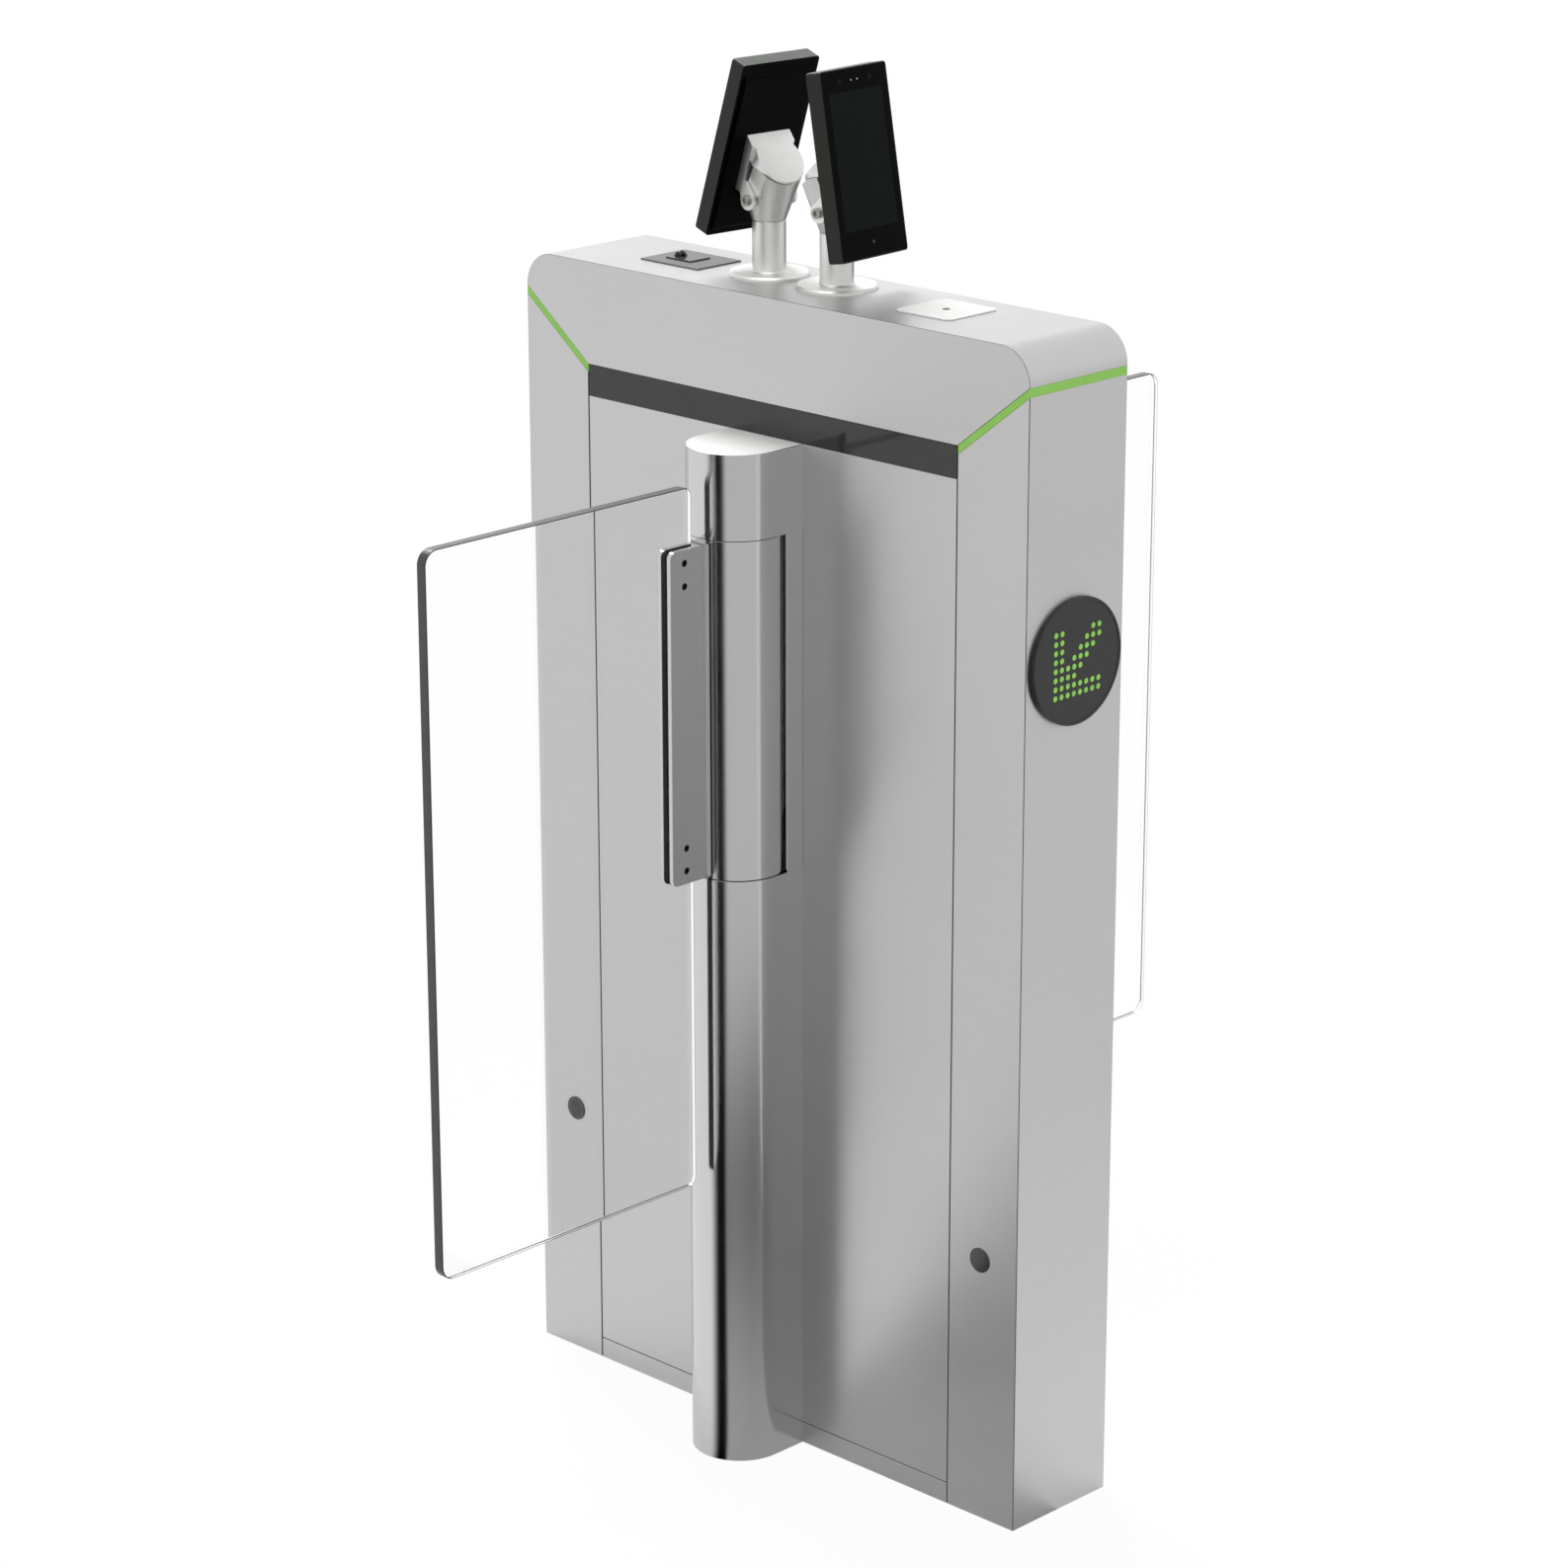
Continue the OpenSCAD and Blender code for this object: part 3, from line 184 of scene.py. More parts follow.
@dataclass(frozen=True)
class Skin:
    """What the opaque finishes share: two close tones, a shine that varies and a fine relief.

    Real grains are finer than a pixel. Where one wouldn't show, it is drawn as coarse as it
    needs to show.
    """

    name: str
    dark: str
    light: str
    roughness: float
    grain_mm: float = 0.6
    depth_mm: float = 0.01
    bump: float = 0.3
    swing: float = 0.03
    tone_mm: float = 14.0

    def tone(self, tree: Tree) -> Socket:
        """Draws the slow changes of tone."""
        return object_noise(tree, (self.tone_mm,) * 3, detail=3)

    def grained(self, constants: Settings, is_toned: bool = False) -> tuple[Material, Tree, Node]:
        """Makes a material with an even grain.

        Args:
            constants: The shader's constant inputs.
            is_toned: Whether the shine follows the tone instead of the grain.

        Returns:
            The material, its node tree and its shader node.
        """
        material, tree, shader = new_material(self.name, constants)
        grain = object_noise(tree, (self.grain_mm,) * 3)
        tone = self.tone(tree)
        shade = add_node(tree, "MapRange", {"Value": tone, **FROM_NOISE}).outputs[0]
        shine = {"Value": tone if is_toned else grain, **FROM_NOISE}
        shine |= {"To Min": self.roughness - self.swing, "To Max": self.roughness + self.swing}
        gloss = add_node(tree, "MapRange", shine).outputs[0]
        self.dress(tree, shader, shade, gloss, grain)
        return material, tree, shader

    def dress(self, tree: Tree, shader: Node, tone: Socket, gloss: Socket, height: Socket) -> None:
        """Links a shader's colour, roughness and normal to patterns.

        Args:
            tree: The material's node tree.
            shader: The Principled shader.
            tone: Pattern from the dark colour at 0 to the light one at 1.
            gloss: Pattern of the roughness.
            height: Pattern of the relief.
        """
        colours = {"data_type": "RGBA", 0: tone, 6: linear(self.dark), 7: linear(self.light)}
        colour = add_node(tree, "Mix", colours).outputs[2]
        depth = {"Height": height, "Distance": self.depth_mm * MM, "Strength": self.bump}
        relief = add_node(tree, "Bump", depth).outputs[0]
        for name, socket in (("Base Color", colour), ("Roughness", gloss), ("Normal", relief)):
            tree.links.new(socket, shader.inputs[name])


@dataclass(frozen=True)
class BrushedSteel(Skin):
    """Stainless steel sheet with a satin brush, as on lane cabinets.

    The grain is the brush's hair lines, which run along the sheet.
    """

    grain_mm: float = 0.45
    depth_mm: float = 0.004
    bump: float = 0.25
    hair_length_mm: float = 70.0
    hair_share: float = 0.6
    wear_mm: tuple[float, float, float] = (180.0, 180.0, 120.0)
    lies_flat: bool = False
    stretch: float = 0.0

    def build(self) -> Material:
        """Makes the material, whose tone and shine follow the hair lines and the wear.

        Returns:
            The material.
        """
        constants = {"Metallic": 1.0, "Anisotropic": self.stretch}
        material, tree, shader = new_material(self.name, constants)
        hairs = self._hairs(tree)
        wear = object_noise(tree, self.wear_mm, detail=3)
        rough, swing = self.roughness, self.swing
        sums = []
        for of_hairs, of_wear in (
            ((0.0, self.hair_share), (0.0, 1.0 - self.hair_share)),
            ((rough - swing, rough + swing), (-swing, swing)),
        ):
            parts = []
            for pattern, (least, most) in ((hairs, of_hairs), (wear, of_wear)):
                share = {"Value": pattern, **FROM_NOISE, "To Min": least, "To Max": most}
                parts.append(add_node(tree, "MapRange", share).outputs[0])
            both = {"operation": "ADD", 0: parts[0], 1: parts[1]}
            sums.append(add_node(tree, "Math", both).outputs[0])
        tone, gloss = sums
        self.dress(tree, shader, tone, gloss, hairs)
        if self.stretch:
            tree.links.new(self._across_hairs(tree), shader.inputs["Tangent"])
        return material

    def _hairs(self, tree: Tree) -> Socket:
        """Draws the hair lines, level on upright faces and along X on the top.

        Args:
            tree: The node tree.

        Returns:
            The pattern's socket.
        """
        along, across = self.hair_length_mm, self.grain_mm
        upright = object_noise(tree, (along, along, across), detail=3)
        if not self.lies_flat:
            return upright
        level = object_noise(tree, (along, across, along), detail=3)
        facing = add_node(tree, "NewGeometry").outputs["Normal"]
        y = add_node(tree, "SeparateXYZ", {"Vector": facing}).outputs["Y"]
        size = add_node(tree, "Math", {"operation": "ABSOLUTE", 0: y}).outputs[0]
        choice = {"data_type": "FLOAT", 0: size, 2: level, 3: upright}
        return add_node(tree, "Mix", choice).outputs[0]

    def _across_hairs(self, tree: Tree) -> Socket:
        """Finds the direction on an upright face in which the level hairs smear a reflection.

        Args:
            tree: The node tree.

        Returns:
            The direction's socket.
        """
        facing = add_node(tree, "NewGeometry").outputs["Normal"]
        cross = {"operation": "CROSS_PRODUCT"}
        level = add_node(tree, "VectorMath", {**cross, 0: tuple(UP), 1: facing})
        turned = {**cross, 0: facing, 1: level.outputs[0]}
        return add_node(tree, "VectorMath", turned).outputs[0]


@dataclass(frozen=True)
class GrainedMetal(Skin):
    """A metal with an even grain, such as cast, ground, blasted or zinc-coated metal."""

    swing: float = 0.05
    tone_mm: float = 24.0
    metallic: float = 1.0
    spangle_mm: float = 0.0

    def build(self) -> Material:
        """Makes the material."""
        return self.grained({"Metallic": self.metallic})[0]

    def tone(self, tree: Tree) -> Socket:
        """Draws the slow changes of tone, or the crystals of a zinc coat.

        Args:
            tree: The node tree.

        Returns:
            The pattern's socket.
        """
        if not self.spangle_mm:
            return super().tone(tree)
        place = add_node(tree, "TexCoord").outputs["Object"]
        size = {"Vector": place, "Scale": 1 / (self.spangle_mm * MM)}
        flakes = add_node(tree, "TexVoronoi", size).outputs["Color"]
        return add_node(tree, "SeparateColor", {"Color": flakes}).outputs[0]


@dataclass(frozen=True)
class MouldedPlastic(Skin):
    """A moulded or lacquered skin: plastic, rubber, lacquer or solder mask."""

    ior: float = 1.5
    glow: float = 0.0
    specular: float = 0.5

    def build(self) -> Material:
        """Makes the material, which glows in its own colour if it is lit.

        Returns:
            The material.
        """
        constants = {"IOR": self.ior, "Specular IOR Level": self.specular}
        constants["Emission Strength"] = self.glow
        material, tree, shader = self.grained(constants, is_toned=True)
        if self.glow:
            colour = shader.inputs["Base Color"].links[0].from_socket
            tree.links.new(colour, shader.inputs["Emission Color"])
        return material


@dataclass(frozen=True)
class GroundEdge(Skin):
    """A ground edge of toughened glass: it looks solid from outside and clear through the pane."""

    roughness: float = 0.3
    grain_mm: float = 0.5
    depth_mm: float = 0.003
    bump: float = 0.2
    swing: float = 0.05
    specular: float = 0.35
    inner_roughness: float = 0.05

    def build(self) -> Material:
        """Makes the material, solid on the side that looks out and clear on the other.

        Returns:
            The material.
        """
        material, tree, shader = self.grained({"Specular IOR Level": self.specular})
        clear = {"Base Color": linear("#FFFFFF"), "Roughness": self.inner_roughness}
        clear |= {"IOR": GLASS_IOR, "Transmission Weight": 1.0}
        within = add_node(tree, "BsdfPrincipled", clear)
        inside = add_node(tree, "NewGeometry").outputs["Backfacing"]
        sides = {0: inside, 1: shader.outputs[0], 2: within.outputs[0]}
        show(tree, add_node(tree, "MixShader", sides).outputs[0])
        return material


@dataclass(frozen=True)
class ToughenedGlass:
    """Clear toughened float glass: nearly colourless through its faces."""

    name: str
    tint: str
    shadow_tint: str
    smear: float = 0.01
    smear_mm: tuple[float, float, float] = (60.0, 60.0, 90.0)

    def build(self) -> Material:
        """Makes the material, through which light reaches the floor as a light shadow.

        Returns:
            The material.
        """
        constants = {"Base Color": linear(self.tint), "Transmission Weight": 1.0, "IOR": GLASS_IOR}
        material, tree, shader = new_material(self.name, constants)
        smears = {"Value": object_noise(tree, self.smear_mm, detail=3), **FROM_NOISE}
        gloss = add_node(tree, "MapRange", smears | {"To Max": self.smear}).outputs[0]
        tree.links.new(gloss, shader.inputs["Roughness"])
        shaded = add_node(tree, "LightPath").outputs["Is Shadow Ray"]
        clear = add_node(tree, "BsdfTransparent", {"Color": linear(self.shadow_tint)})
        rays = {0: shaded, 1: shader.outputs[0], 2: clear.outputs[0]}
        show(tree, add_node(tree, "MixShader", rays).outputs[0])
        return material


Finish = BrushedSteel | GrainedMetal | MouldedPlastic | GroundEdge | ToughenedGlass

# Each finish gives its name, its dark and light colour and its roughness, and then, where they
# differ from the usual, its grain and the grain's depth in millimetres, its bump and its swing.

# Satin stainless skins: light grey, with level hair lines and soft, upright smears of reflection
BRUSHED_STEEL = BrushedSteel("brushed_stainless_steel", "#C1C0C0", "#C9C8C8", 0.34, stretch=0.85)
# The same sheet folded over the top: the hair lines run along the cabinet on every face
FOLDED_STEEL = BrushedSteel("brushed_stainless_top", "#C1C0C0", "#C9C8C8", 0.34, lies_flat=True)
# Eased edges along the folds and joins of the sheet, painted a darker grey as painted shade: the
# fine shadow line of a seam
EDGE_SHADE_LINE = BrushedSteel("stainless_painted_edge_shade", "#5C5C5C", "#666666", 0.5)
# Bright stainless tube and plate: near mirror, with hair lines that only show in the highlights
POLISHED_STEEL = BrushedSteel(
    "polished_stainless_steel", "#C8C7C7", "#CECDCD", 0.15, 0.5, 0.002, 0.12, 0.015,
    hair_length_mm=40.0,
)
# Bead-blasted and anodised aluminium: pale and even, with a very fine sparkle
SATIN_ALUMINIUM = GrainedMetal("anodised_aluminium", "#E0E0DE", "#E8E8E6", 0.42, 0.5, 0.01)
# Die-cast aluminium under silver lacquer on the necks: a shade darker than the poles
SILVER_LACQUER = GrainedMetal("silver_lacquered_aluminium", "#C2C2C0", "#CACAC8", 0.4, 0.6, 0.008)
# The caps of the columns: bead-blasted under clear lacquer, even, and painted nearly white as
# painted light from above
CAP_PAINTED_LIGHT = GrainedMetal(
    "stainless_cap_painted_light", "#F2F2F0", "#F6F6F4", 0.6, 0.5, 0.006, metallic=0.35
)
# Hot-dip zinc on folded steel: dull, with the crystals of the zinc showing
GALVANISED = GrainedMetal(
    "galvanised_steel", "#8E9296", "#B4B8BA", 0.5, 1.2, 0.02, metallic=0.9, spangle_mm=9.0
)
# Ground bearing steel: bright and smooth
BEARING_STEEL = GrainedMetal("ground_bearing_steel", "#B4B6B8", "#C6C8C9", 0.2, 0.3, 0.002)
# Sand-cast aluminium housings: dull and pebbled
CAST_ALUMINIUM = GrainedMetal("cast_aluminium", "#A4A6A8", "#B6B8BA", 0.48, 1.1, 0.06)
# Black oxide on steel screws: dark with a dull oily shine
BLACK_OXIDE = GrainedMetal(
    "black_oxide_steel", "#17171A", "#232326", 0.38, 0.4, 0.004, metallic=0.8
)
# Zinc-plated pivot screws: bright, slightly yellow
PLATED_STEEL = GrainedMetal("zinc_plated_steel", "#8C8C86", "#9C9C96", 0.3, 0.4, 0.003)
# Printed metal dot under the screen: nearly black, with a dull shine
PLAIN_DOT = GrainedMetal("bare_label_plate", "#2E2E2C", "#343432", 0.45, 0.6, 0.004, metallic=0.3)
# Smoked cast acrylic over the upper lamps: dark and glossy
SMOKED_ACRYLIC = MouldedPlastic(
    "smoked_acrylic", "#282828", "#2C2C2C", 0.08, 2.0, 0.002, 0.1, ior=1.49
)
# Milky polycarbonate over green lamps: even colour with a faint glow
GREEN_DIFFUSER = MouldedPlastic(
    "green_polycarbonate", "#74AE3E", "#7CB546", 0.3, 0.8, 0.004, 0.15, ior=1.58, glow=0.3
)
# Infrared-pass polycarbonate: nearly black, smooth
SENSOR_LENS = MouldedPlastic("infrared_polycarbonate", "#3A3A39", "#3F3F3E", 0.16, 0.6, 0.004, 0.15)
# Moulded ABS: black, very fine texture
BLACK_ABS = MouldedPlastic("black_abs", "#161616", "#1E1E1E", 0.4, 0.5, 0.012)
# Polyester display window with a matt print: dark grey
DISPLAY_WINDOW = MouldedPlastic(
    "printed_polyester", "#333333", "#373737", 0.5, 0.4, 0.004, specular=0.3
)
# Lit green lamps: each a soft green point
LAMP_GREEN = MouldedPlastic(
    "lit_lamp_epoxy", "#6FAE3A", "#7FBE48", 0.3, 0.8, 0.004, 0.1, ior=1.53, glow=0.35
)
# Black baked lacquer on the motors: an even, half-glossy black
MOTOR_LACQUER = MouldedPlastic("baked_lacquer", "#141416", "#1E1E21", 0.35, 1.0, 0.02)
# Glass-fibre board under green solder mask
SOLDER_MASK = MouldedPlastic("solder_mask_board", "#0E3A22", "#1C5A36", 0.3, 2.4, 0.02)
# Dark grey textured lacquer on the scanner's plate
SCANNER_LACQUER = MouldedPlastic("textured_lacquer", "#6C6C6C", "#747474", 0.5, 0.5, 0.02)
# Gloss black polycarbonate of the scanner's dome
DOME_BLACK = MouldedPlastic(
    "gloss_polycarbonate", "#0C0C0C", "#121212", 0.12, 1.0, 0.002, 0.1, ior=1.58, specular=0.2
)
# Grey scan window of tinted acrylic
SCAN_WINDOW = MouldedPlastic(
    "tinted_acrylic", "#3C3C3C", "#424242", 0.16, 1.0, 0.002, 0.1, ior=1.49
)
# White ABS cover of the card reader
WHITE_ABS = MouldedPlastic("white_abs", "#F4F4F2", "#F8F8F6", 0.28, 0.6, 0.006)
# EPDM gasket sheet: dull black
RUBBER = MouldedPlastic("epdm_rubber", "#17171A", "#202022", 0.65, 0.7, 0.03)
# Textured black case of the terminals
CASE_BLACK = MouldedPlastic("textured_abs", "#1B1B17", "#21211C", 0.5, 0.5, 0.014, specular=0.25)
# The case's top faces: the same black ABS painted grey, as painted light from the lamps above
CASE_TOP_PAINTED_LIGHT = MouldedPlastic("abs_painted_top_light", "#5E625E", "#686C68", 0.45, 0.5, 0.008, specular=0.3)
# Smooth black cover on the back of the terminals
COVER_BLACK = MouldedPlastic("smooth_abs", "#040404", "#060606", 0.3, 0.5, 0.004, specular=0.03)
# Front glass of the terminals: back-printed black
PRINTED_GLASS = MouldedPlastic(
    "back_printed_glass", "#020202", "#040404", 0.1, 2.0, 0.001, 0.05, ior=1.52, specular=0.03
)
# Switched-off liquid crystal screen under the glass: black with a breath of blue-green
DARK_SCREEN = MouldedPlastic(
    "dark_screen", "#0D1212", "#0F1414", 0.14, 2.0, 0.001, 0.05, ior=1.52, specular=0.04
)
# Camera lens glass: black with a breath of violet
LENS_GLASS = MouldedPlastic(
    "coated_lens", "#06070B", "#0A0C12", 0.06, 2.0, 0.001, 0.05, ior=1.6, specular=0.05
)
# Small white lamps beside the camera lenses, faintly lit
LAMP_WHITE = MouldedPlastic("lit_white_lamp", "#9EA2A6", "#AAAEB2", 0.3, 1.0, 0.002, 0.1, glow=0.3)
# Black rings in the gaps between the turning drum and the fixed housings: dead black, painted shade
# for the gaps' shadow
GAP_SHADE_BLACK = MouldedPlastic("painted_gap_shade", "#0A0A0A", "#101010", 0.9, 0.4, 0.05, specular=0.05)
# The pane's ground edge: grey from outside, clear from within, with a breath of green
GLASS_EDGE = GroundEdge("ground_glass_edge", "#6C706F", "#747877")
# The upright ends of the pane: the same ground edge painted a darker grey, as painted shade for the
# glass's own depth
GLASS_END_SHADED = GroundEdge("ground_edge_painted_shade", "#3E4241", "#464A49")
# Clear toughened wing glass, which dims its shadow only a little
WING_GLASS = ToughenedGlass("toughened_glass", "#FFFFFF", "#F8F9F9")

CAD_FINISHES: dict[str, Finish] = {
    "base_plate": GALVANISED,
    "uprights": GALVANISED,
    "top_beam": GALVANISED,
    "cross_rails": GALVANISED,
    "bearing_carriers": CAST_ALUMINIUM,
    "wing_bearings": BEARING_STEEL,
    "drive_motors": MOTOR_LACQUER,
    "gearboxes": CAST_ALUMINIUM,
    "control_board": SOLDER_MASK,
    "power_supply": GALVANISED,
    "sensor_barrels": BLACK_ABS,
    "arrow_windows": DISPLAY_WINDOW,
    "front_drum_hubs": CAST_ALUMINIUM,
    "back_drum_hubs": CAST_ALUMINIUM,
    "front_wing_shaft": BEARING_STEEL,
    "back_wing_shaft": BEARING_STEEL,
    "front_glass_gaskets": RUBBER,
    "back_glass_gaskets": RUBBER,
}


class Palette:
    """Builds each finish once and hands its material out."""

    def __init__(self) -> None:
        """Starts with no material built."""
        self._built: dict[str, Material] = {}

    def material(self, finish: Finish) -> Material:
        """Gives a finish's material, and builds it at its first use.

        Args:
            finish: The finish.

        Returns:
            The material.
        """
        if finish.name not in self._built:
            self._built[finish.name] = finish.build()
        return self._built[finish.name]


# Shaping


class Workpiece:
    """One piece's mesh while bmesh operators shape it."""

    def __init__(self, bm: bmesh.types.BMesh | None = None) -> None:
        """Starts with an empty mesh, or takes over the one given."""
        self.bm = bmesh.new() if bm is None else bm

    @classmethod
    def from_node(cls, node: str) -> "Workpiece":
        """Starts from a merged copy of a CAD node, with its flat faces joined.

        Args:
            node: The CAD node's name.

        Returns:
            The new workpiece.
        """
        piece = cls()
        bm = piece.bm
        bm.from_mesh(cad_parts[node].data)
        bmesh.ops.remove_doubles(bm, verts=bm.verts, dist=WELD)
        bmesh.ops.dissolve_limit(bm, angle_limit=FLAT, verts=bm.verts, edges=bm.edges)
        for face in bm.faces:
            face.material_index = 0
        return piece

    @classmethod
    def block(cls, low: Sequence[float], high: Sequence[float]) -> "Workpiece":
        """Starts from a block between two corners.

        Args:
            low: Lowest corner.
            high: Highest corner.

        Returns:
            The new workpiece.
        """
        piece = cls()
        least, most = Vector(low), Vector(high)
        bmesh.ops.create_cube(piece.bm, size=1.0)
        bmesh.ops.scale(piece.bm, vec=most - least, verts=piece.bm.verts)
        bmesh.ops.translate(piece.bm, vec=(least + most) / 2, verts=piece.bm.verts)
        return piece

    @classmethod
    def turned(cls, profile: Sequence[Point], steps: int) -> "Workpiece":
        """Starts from a profile turned about Z.

        Args:
            profile: Radius and height of each point. Points on the axis close the ends,
                and a profile that stays off the axis is a ring.
            steps: Steps of the full turn.

        Returns:
            The new workpiece.
        """
        piece = cls()
        points = [piece.bm.verts.new((radius, 0, height)) for radius, height in profile]
        pairs = list(zip(points, points[1:]))
        if profile[0][0] > 0 and profile[-1][0] > 0:
            pairs.append((points[-1], points[0]))
        edges = [piece.bm.edges.new(pair) for pair in pairs]
        bmesh.ops.spin(
            piece.bm,
            geom=points + edges,
            cent=(0, 0, 0),
            axis=UP,
            angle=2 * math.pi,
            steps=steps,
            use_merge=True,
        )
        bmesh.ops.remove_doubles(piece.bm, verts=piece.bm.verts, dist=AXIS_WELD)
        bmesh.ops.recalc_face_normals(piece.bm, faces=piece.bm.faces)
        return piece

    def edges_along(self, axis: Axis) -> list[bmesh.types.BMEdge]:
        """Finds the edges that run along an axis."""
        ways = [(e, (e.verts[0].co - e.verts[1].co).normalized()) for e in self.bm.edges]
        return [edge for edge, way in ways if abs(way[axis.value]) > ALONG]

    def ease(self, width: float, steps: int = 2, least_degrees: float = 40.0) -> None:
        """Eases every edge that is sharper than an angle.

        Args:
            width: Width of the eased edge.
            steps: Steps of the round.
            least_degrees: Smallest angle between faces that counts as an edge.
        """
        least = math.radians(least_degrees)
        sharp = [e for e in self.bm.edges if e.is_manifold and abs(e.calc_face_angle(0.0)) > least]
        self.bevel(sharp, width, steps)

    def bevel(self, edges: list[bmesh.types.BMEdge], width: float, steps: int) -> None:
        """Bevels edges to a round.

        Args:
            edges: The edges.
            width: Width of the round, measured on each face.
            steps: Steps of the round.
        """
        bmesh.ops.bevel(
            self.bm,
            geom=edges,
            offset=width,
            offset_type="OFFSET",
            affect="EDGES",
            segments=steps,
            profile=0.5,
            material=-1,
            clamp_overlap=True,
        )

    def place(self, matrix: Matrix) -> None:
        """Moves the whole mesh."""
        bmesh.ops.transform(self.bm, matrix=matrix, verts=self.bm.verts)

    def absorb(self, other: "Workpiece") -> None:
        """Takes another workpiece's mesh into this piece.

        Args:
            other: The workpiece that ends here.
        """
        carrier = bpy.data.meshes.new("carrier")
        other.bm.to_mesh(carrier)
        other.bm.free()
        self.bm.from_mesh(carrier)
        bpy.data.meshes.remove(carrier)

    def set_out(self, places: Sequence[Matrix]) -> "Workpiece":
        """Sets copies of this workpiece in their places, and ends it.

        Args:
            places: The placing of each copy.

        Returns:
            One workpiece with all the copies.
        """
        row = Workpiece()
        for place in places:
            twin = Workpiece(self.bm.copy())
            twin.place(place)
            row.absorb(twin)
        self.bm.free()
        return row


@dataclass
class Joinery:
    """Turns workpieces into finished pieces that ride on the frame."""

    palette: Palette
    table: list[str] = field(default_factory=list)

    def finish(
        self,
        work: Workpiece,
        name: str,
        slot: str,
        finishes: Sequence[Finish],
        body: str = "cabinet",
        nodes: Sequence[str] = (),
        sharp_degrees: float = 50.0,
        wall: float = 0.0,
    ) -> None:
        """Makes a workpiece an object, dresses it and hangs it on its body.

        Args:
            work: The shaped mesh.
            name: The piece's name.
            slot: The record's material slot.
            finishes: Finishes in the order of the mesh's material numbers.
            body: The CAD body that it rides on.
            nodes: CAD nodes that the piece stands for.
            sharp_degrees: Angle past which an edge stays sharp in the shading.
            wall: Thickness of the wall that an open skin gets inwards, or 0.
        """
        mesh = bpy.data.meshes.new(name)
        for face in work.bm.faces:
            face.smooth = True
        work.bm.to_mesh(mesh)
        work.bm.free()
        mesh.set_sharp_from_angle(angle=math.radians(sharp_degrees))
        piece = bpy.data.objects.new(name, mesh)
        bpy.context.scene.collection.objects.link(piece)
        for finish in finishes:
            mesh.materials.append(self.palette.material(finish))
        if wall:
            skin = piece.modifiers.new("wall", "SOLIDIFY")
            skin.thickness = wall
            skin.offset = -1.0
            skin.use_even_offset = True
        even = piece.modifiers.new("even_shading", "WEIGHTED_NORMAL")
        even.keep_sharp = True
        even.weight = FACE_WEIGHT
        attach(piece, body)
        if nodes:
            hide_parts(*nodes)
        self.table.append(name)
        log.info("%s rides on %s in %s", name, body, slot)

    def eased_node(
        self,
        node: str,
        slot: str,
        finish: Finish,
        width: float,
        steps: int = 2,
        body: str = "cabinet",
    ) -> None:
        """Replaces a CAD node by its own shape with eased edges.

        Args:
            node: The CAD node.
            slot: The record's material slot.
            finish: The finish.
            width: Width of the eased edges.
            steps: Steps of each round.
            body: The CAD body.
        """
        work = Workpiece.from_node(node)
        work.ease(width, steps)
        self.finish(work, f"{node}_skin", slot, [finish], body, [node])

    def dress_node(self, node: str, finish: Finish) -> None:
        """Gives a CAD node that stays its finish.

        Args:
            node: The CAD node.
            finish: The finish.
        """
        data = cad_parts[node].data
        material = self.palette.material(finish)
        if not data.materials:
            data.materials.append(material)
        for index in range(len(data.materials)):
            data.materials[index] = material
        log.info("%s wears %s", node, finish.name)


def half_turn() -> Matrix:
    """Gives the turn that makes a back piece from its front twin."""
    return Matrix.Rotation(math.pi, 4, UP)


def quarter_arc(steps: int) -> list[Point]:
    """Gives the cosine and sine at each step of a quarter turn."""
    angles = [math.pi / 2 * i / steps for i in range(steps + 1)]
    return [(math.cos(angle), math.sin(angle)) for angle in angles]


# Cabinet


@dataclass
class Cabinet:
    """The sheet steel skins, the light strips and the smoked bands."""

    joinery: Joinery
    skin_ease: float = 0.7 * MM
    panel_ease: float = 0.45 * MM
    cover_ease: float = 0.9 * MM
    # How far across a face has to look to be an eased edge that gets the painted shade line
    shaded_edge_from: float = 0.3
    shaded_edge_to: float = 0.95

    def build(self) -> None:
        """Shapes and dresses every piece of the cabinet."""
        self._lined_node("left_end_post", BRUSHED_STEEL, self.skin_ease, Axis.Z)
        self._lined_node("right_end_post", BRUSHED_STEEL, self.skin_ease, Axis.Z)
        self._lined_node("top_cover", FOLDED_STEEL, self.cover_ease, Axis.X)
        for node, slot, finish in (
            ("front_panel", "brushed_steel", BRUSHED_STEEL),
            ("back_panel", "brushed_steel", BRUSHED_STEEL),
            ("plinth_strips", "brushed_steel", BRUSHED_STEEL),
            ("left_light_strip", "green_light", GREEN_DIFFUSER),
            ("right_light_strip", "green_light", GREEN_DIFFUSER),
            ("light_bands", "smoked_acrylic", SMOKED_ACRYLIC),
        ):
            self.joinery.eased_node(node, slot, finish, self.panel_ease)
        for node, finish in CAD_FINISHES.items():
            self.joinery.dress_node(node, finish)

    def _lined_node(self, node: str, finish: Finish, width: float, axis: Axis) -> None:
        """Replaces a skin by its eased copy, whose long folded edges get fine lines of painted
        shade.

        Args:
            node: The CAD node.
            finish: The sheet's finish.
            width: Width of the eased edges.
            axis: The axis that the lined edges run along.
        """
        work = Workpiece.from_node(node)
        work.ease(width)
        # Eased faces between the main faces get the darker grey of painted shade, as seam shadow
        # lines
        for face in work.bm.faces:
            x, y = abs(face.normal.x), abs(face.normal.y)
            if axis is Axis.Z:
                is_shaded_edge = min(x, y) > self.shaded_edge_from
            else:
                is_shaded_edge = self.shaded_edge_from < y < self.shaded_edge_to
            face.material_index = 1 if is_shaded_edge else 0
        finishes = [finish, EDGE_SHADE_LINE]
        self.joinery.finish(work, f"{node}_skin", "brushed_steel", finishes, nodes=[node])


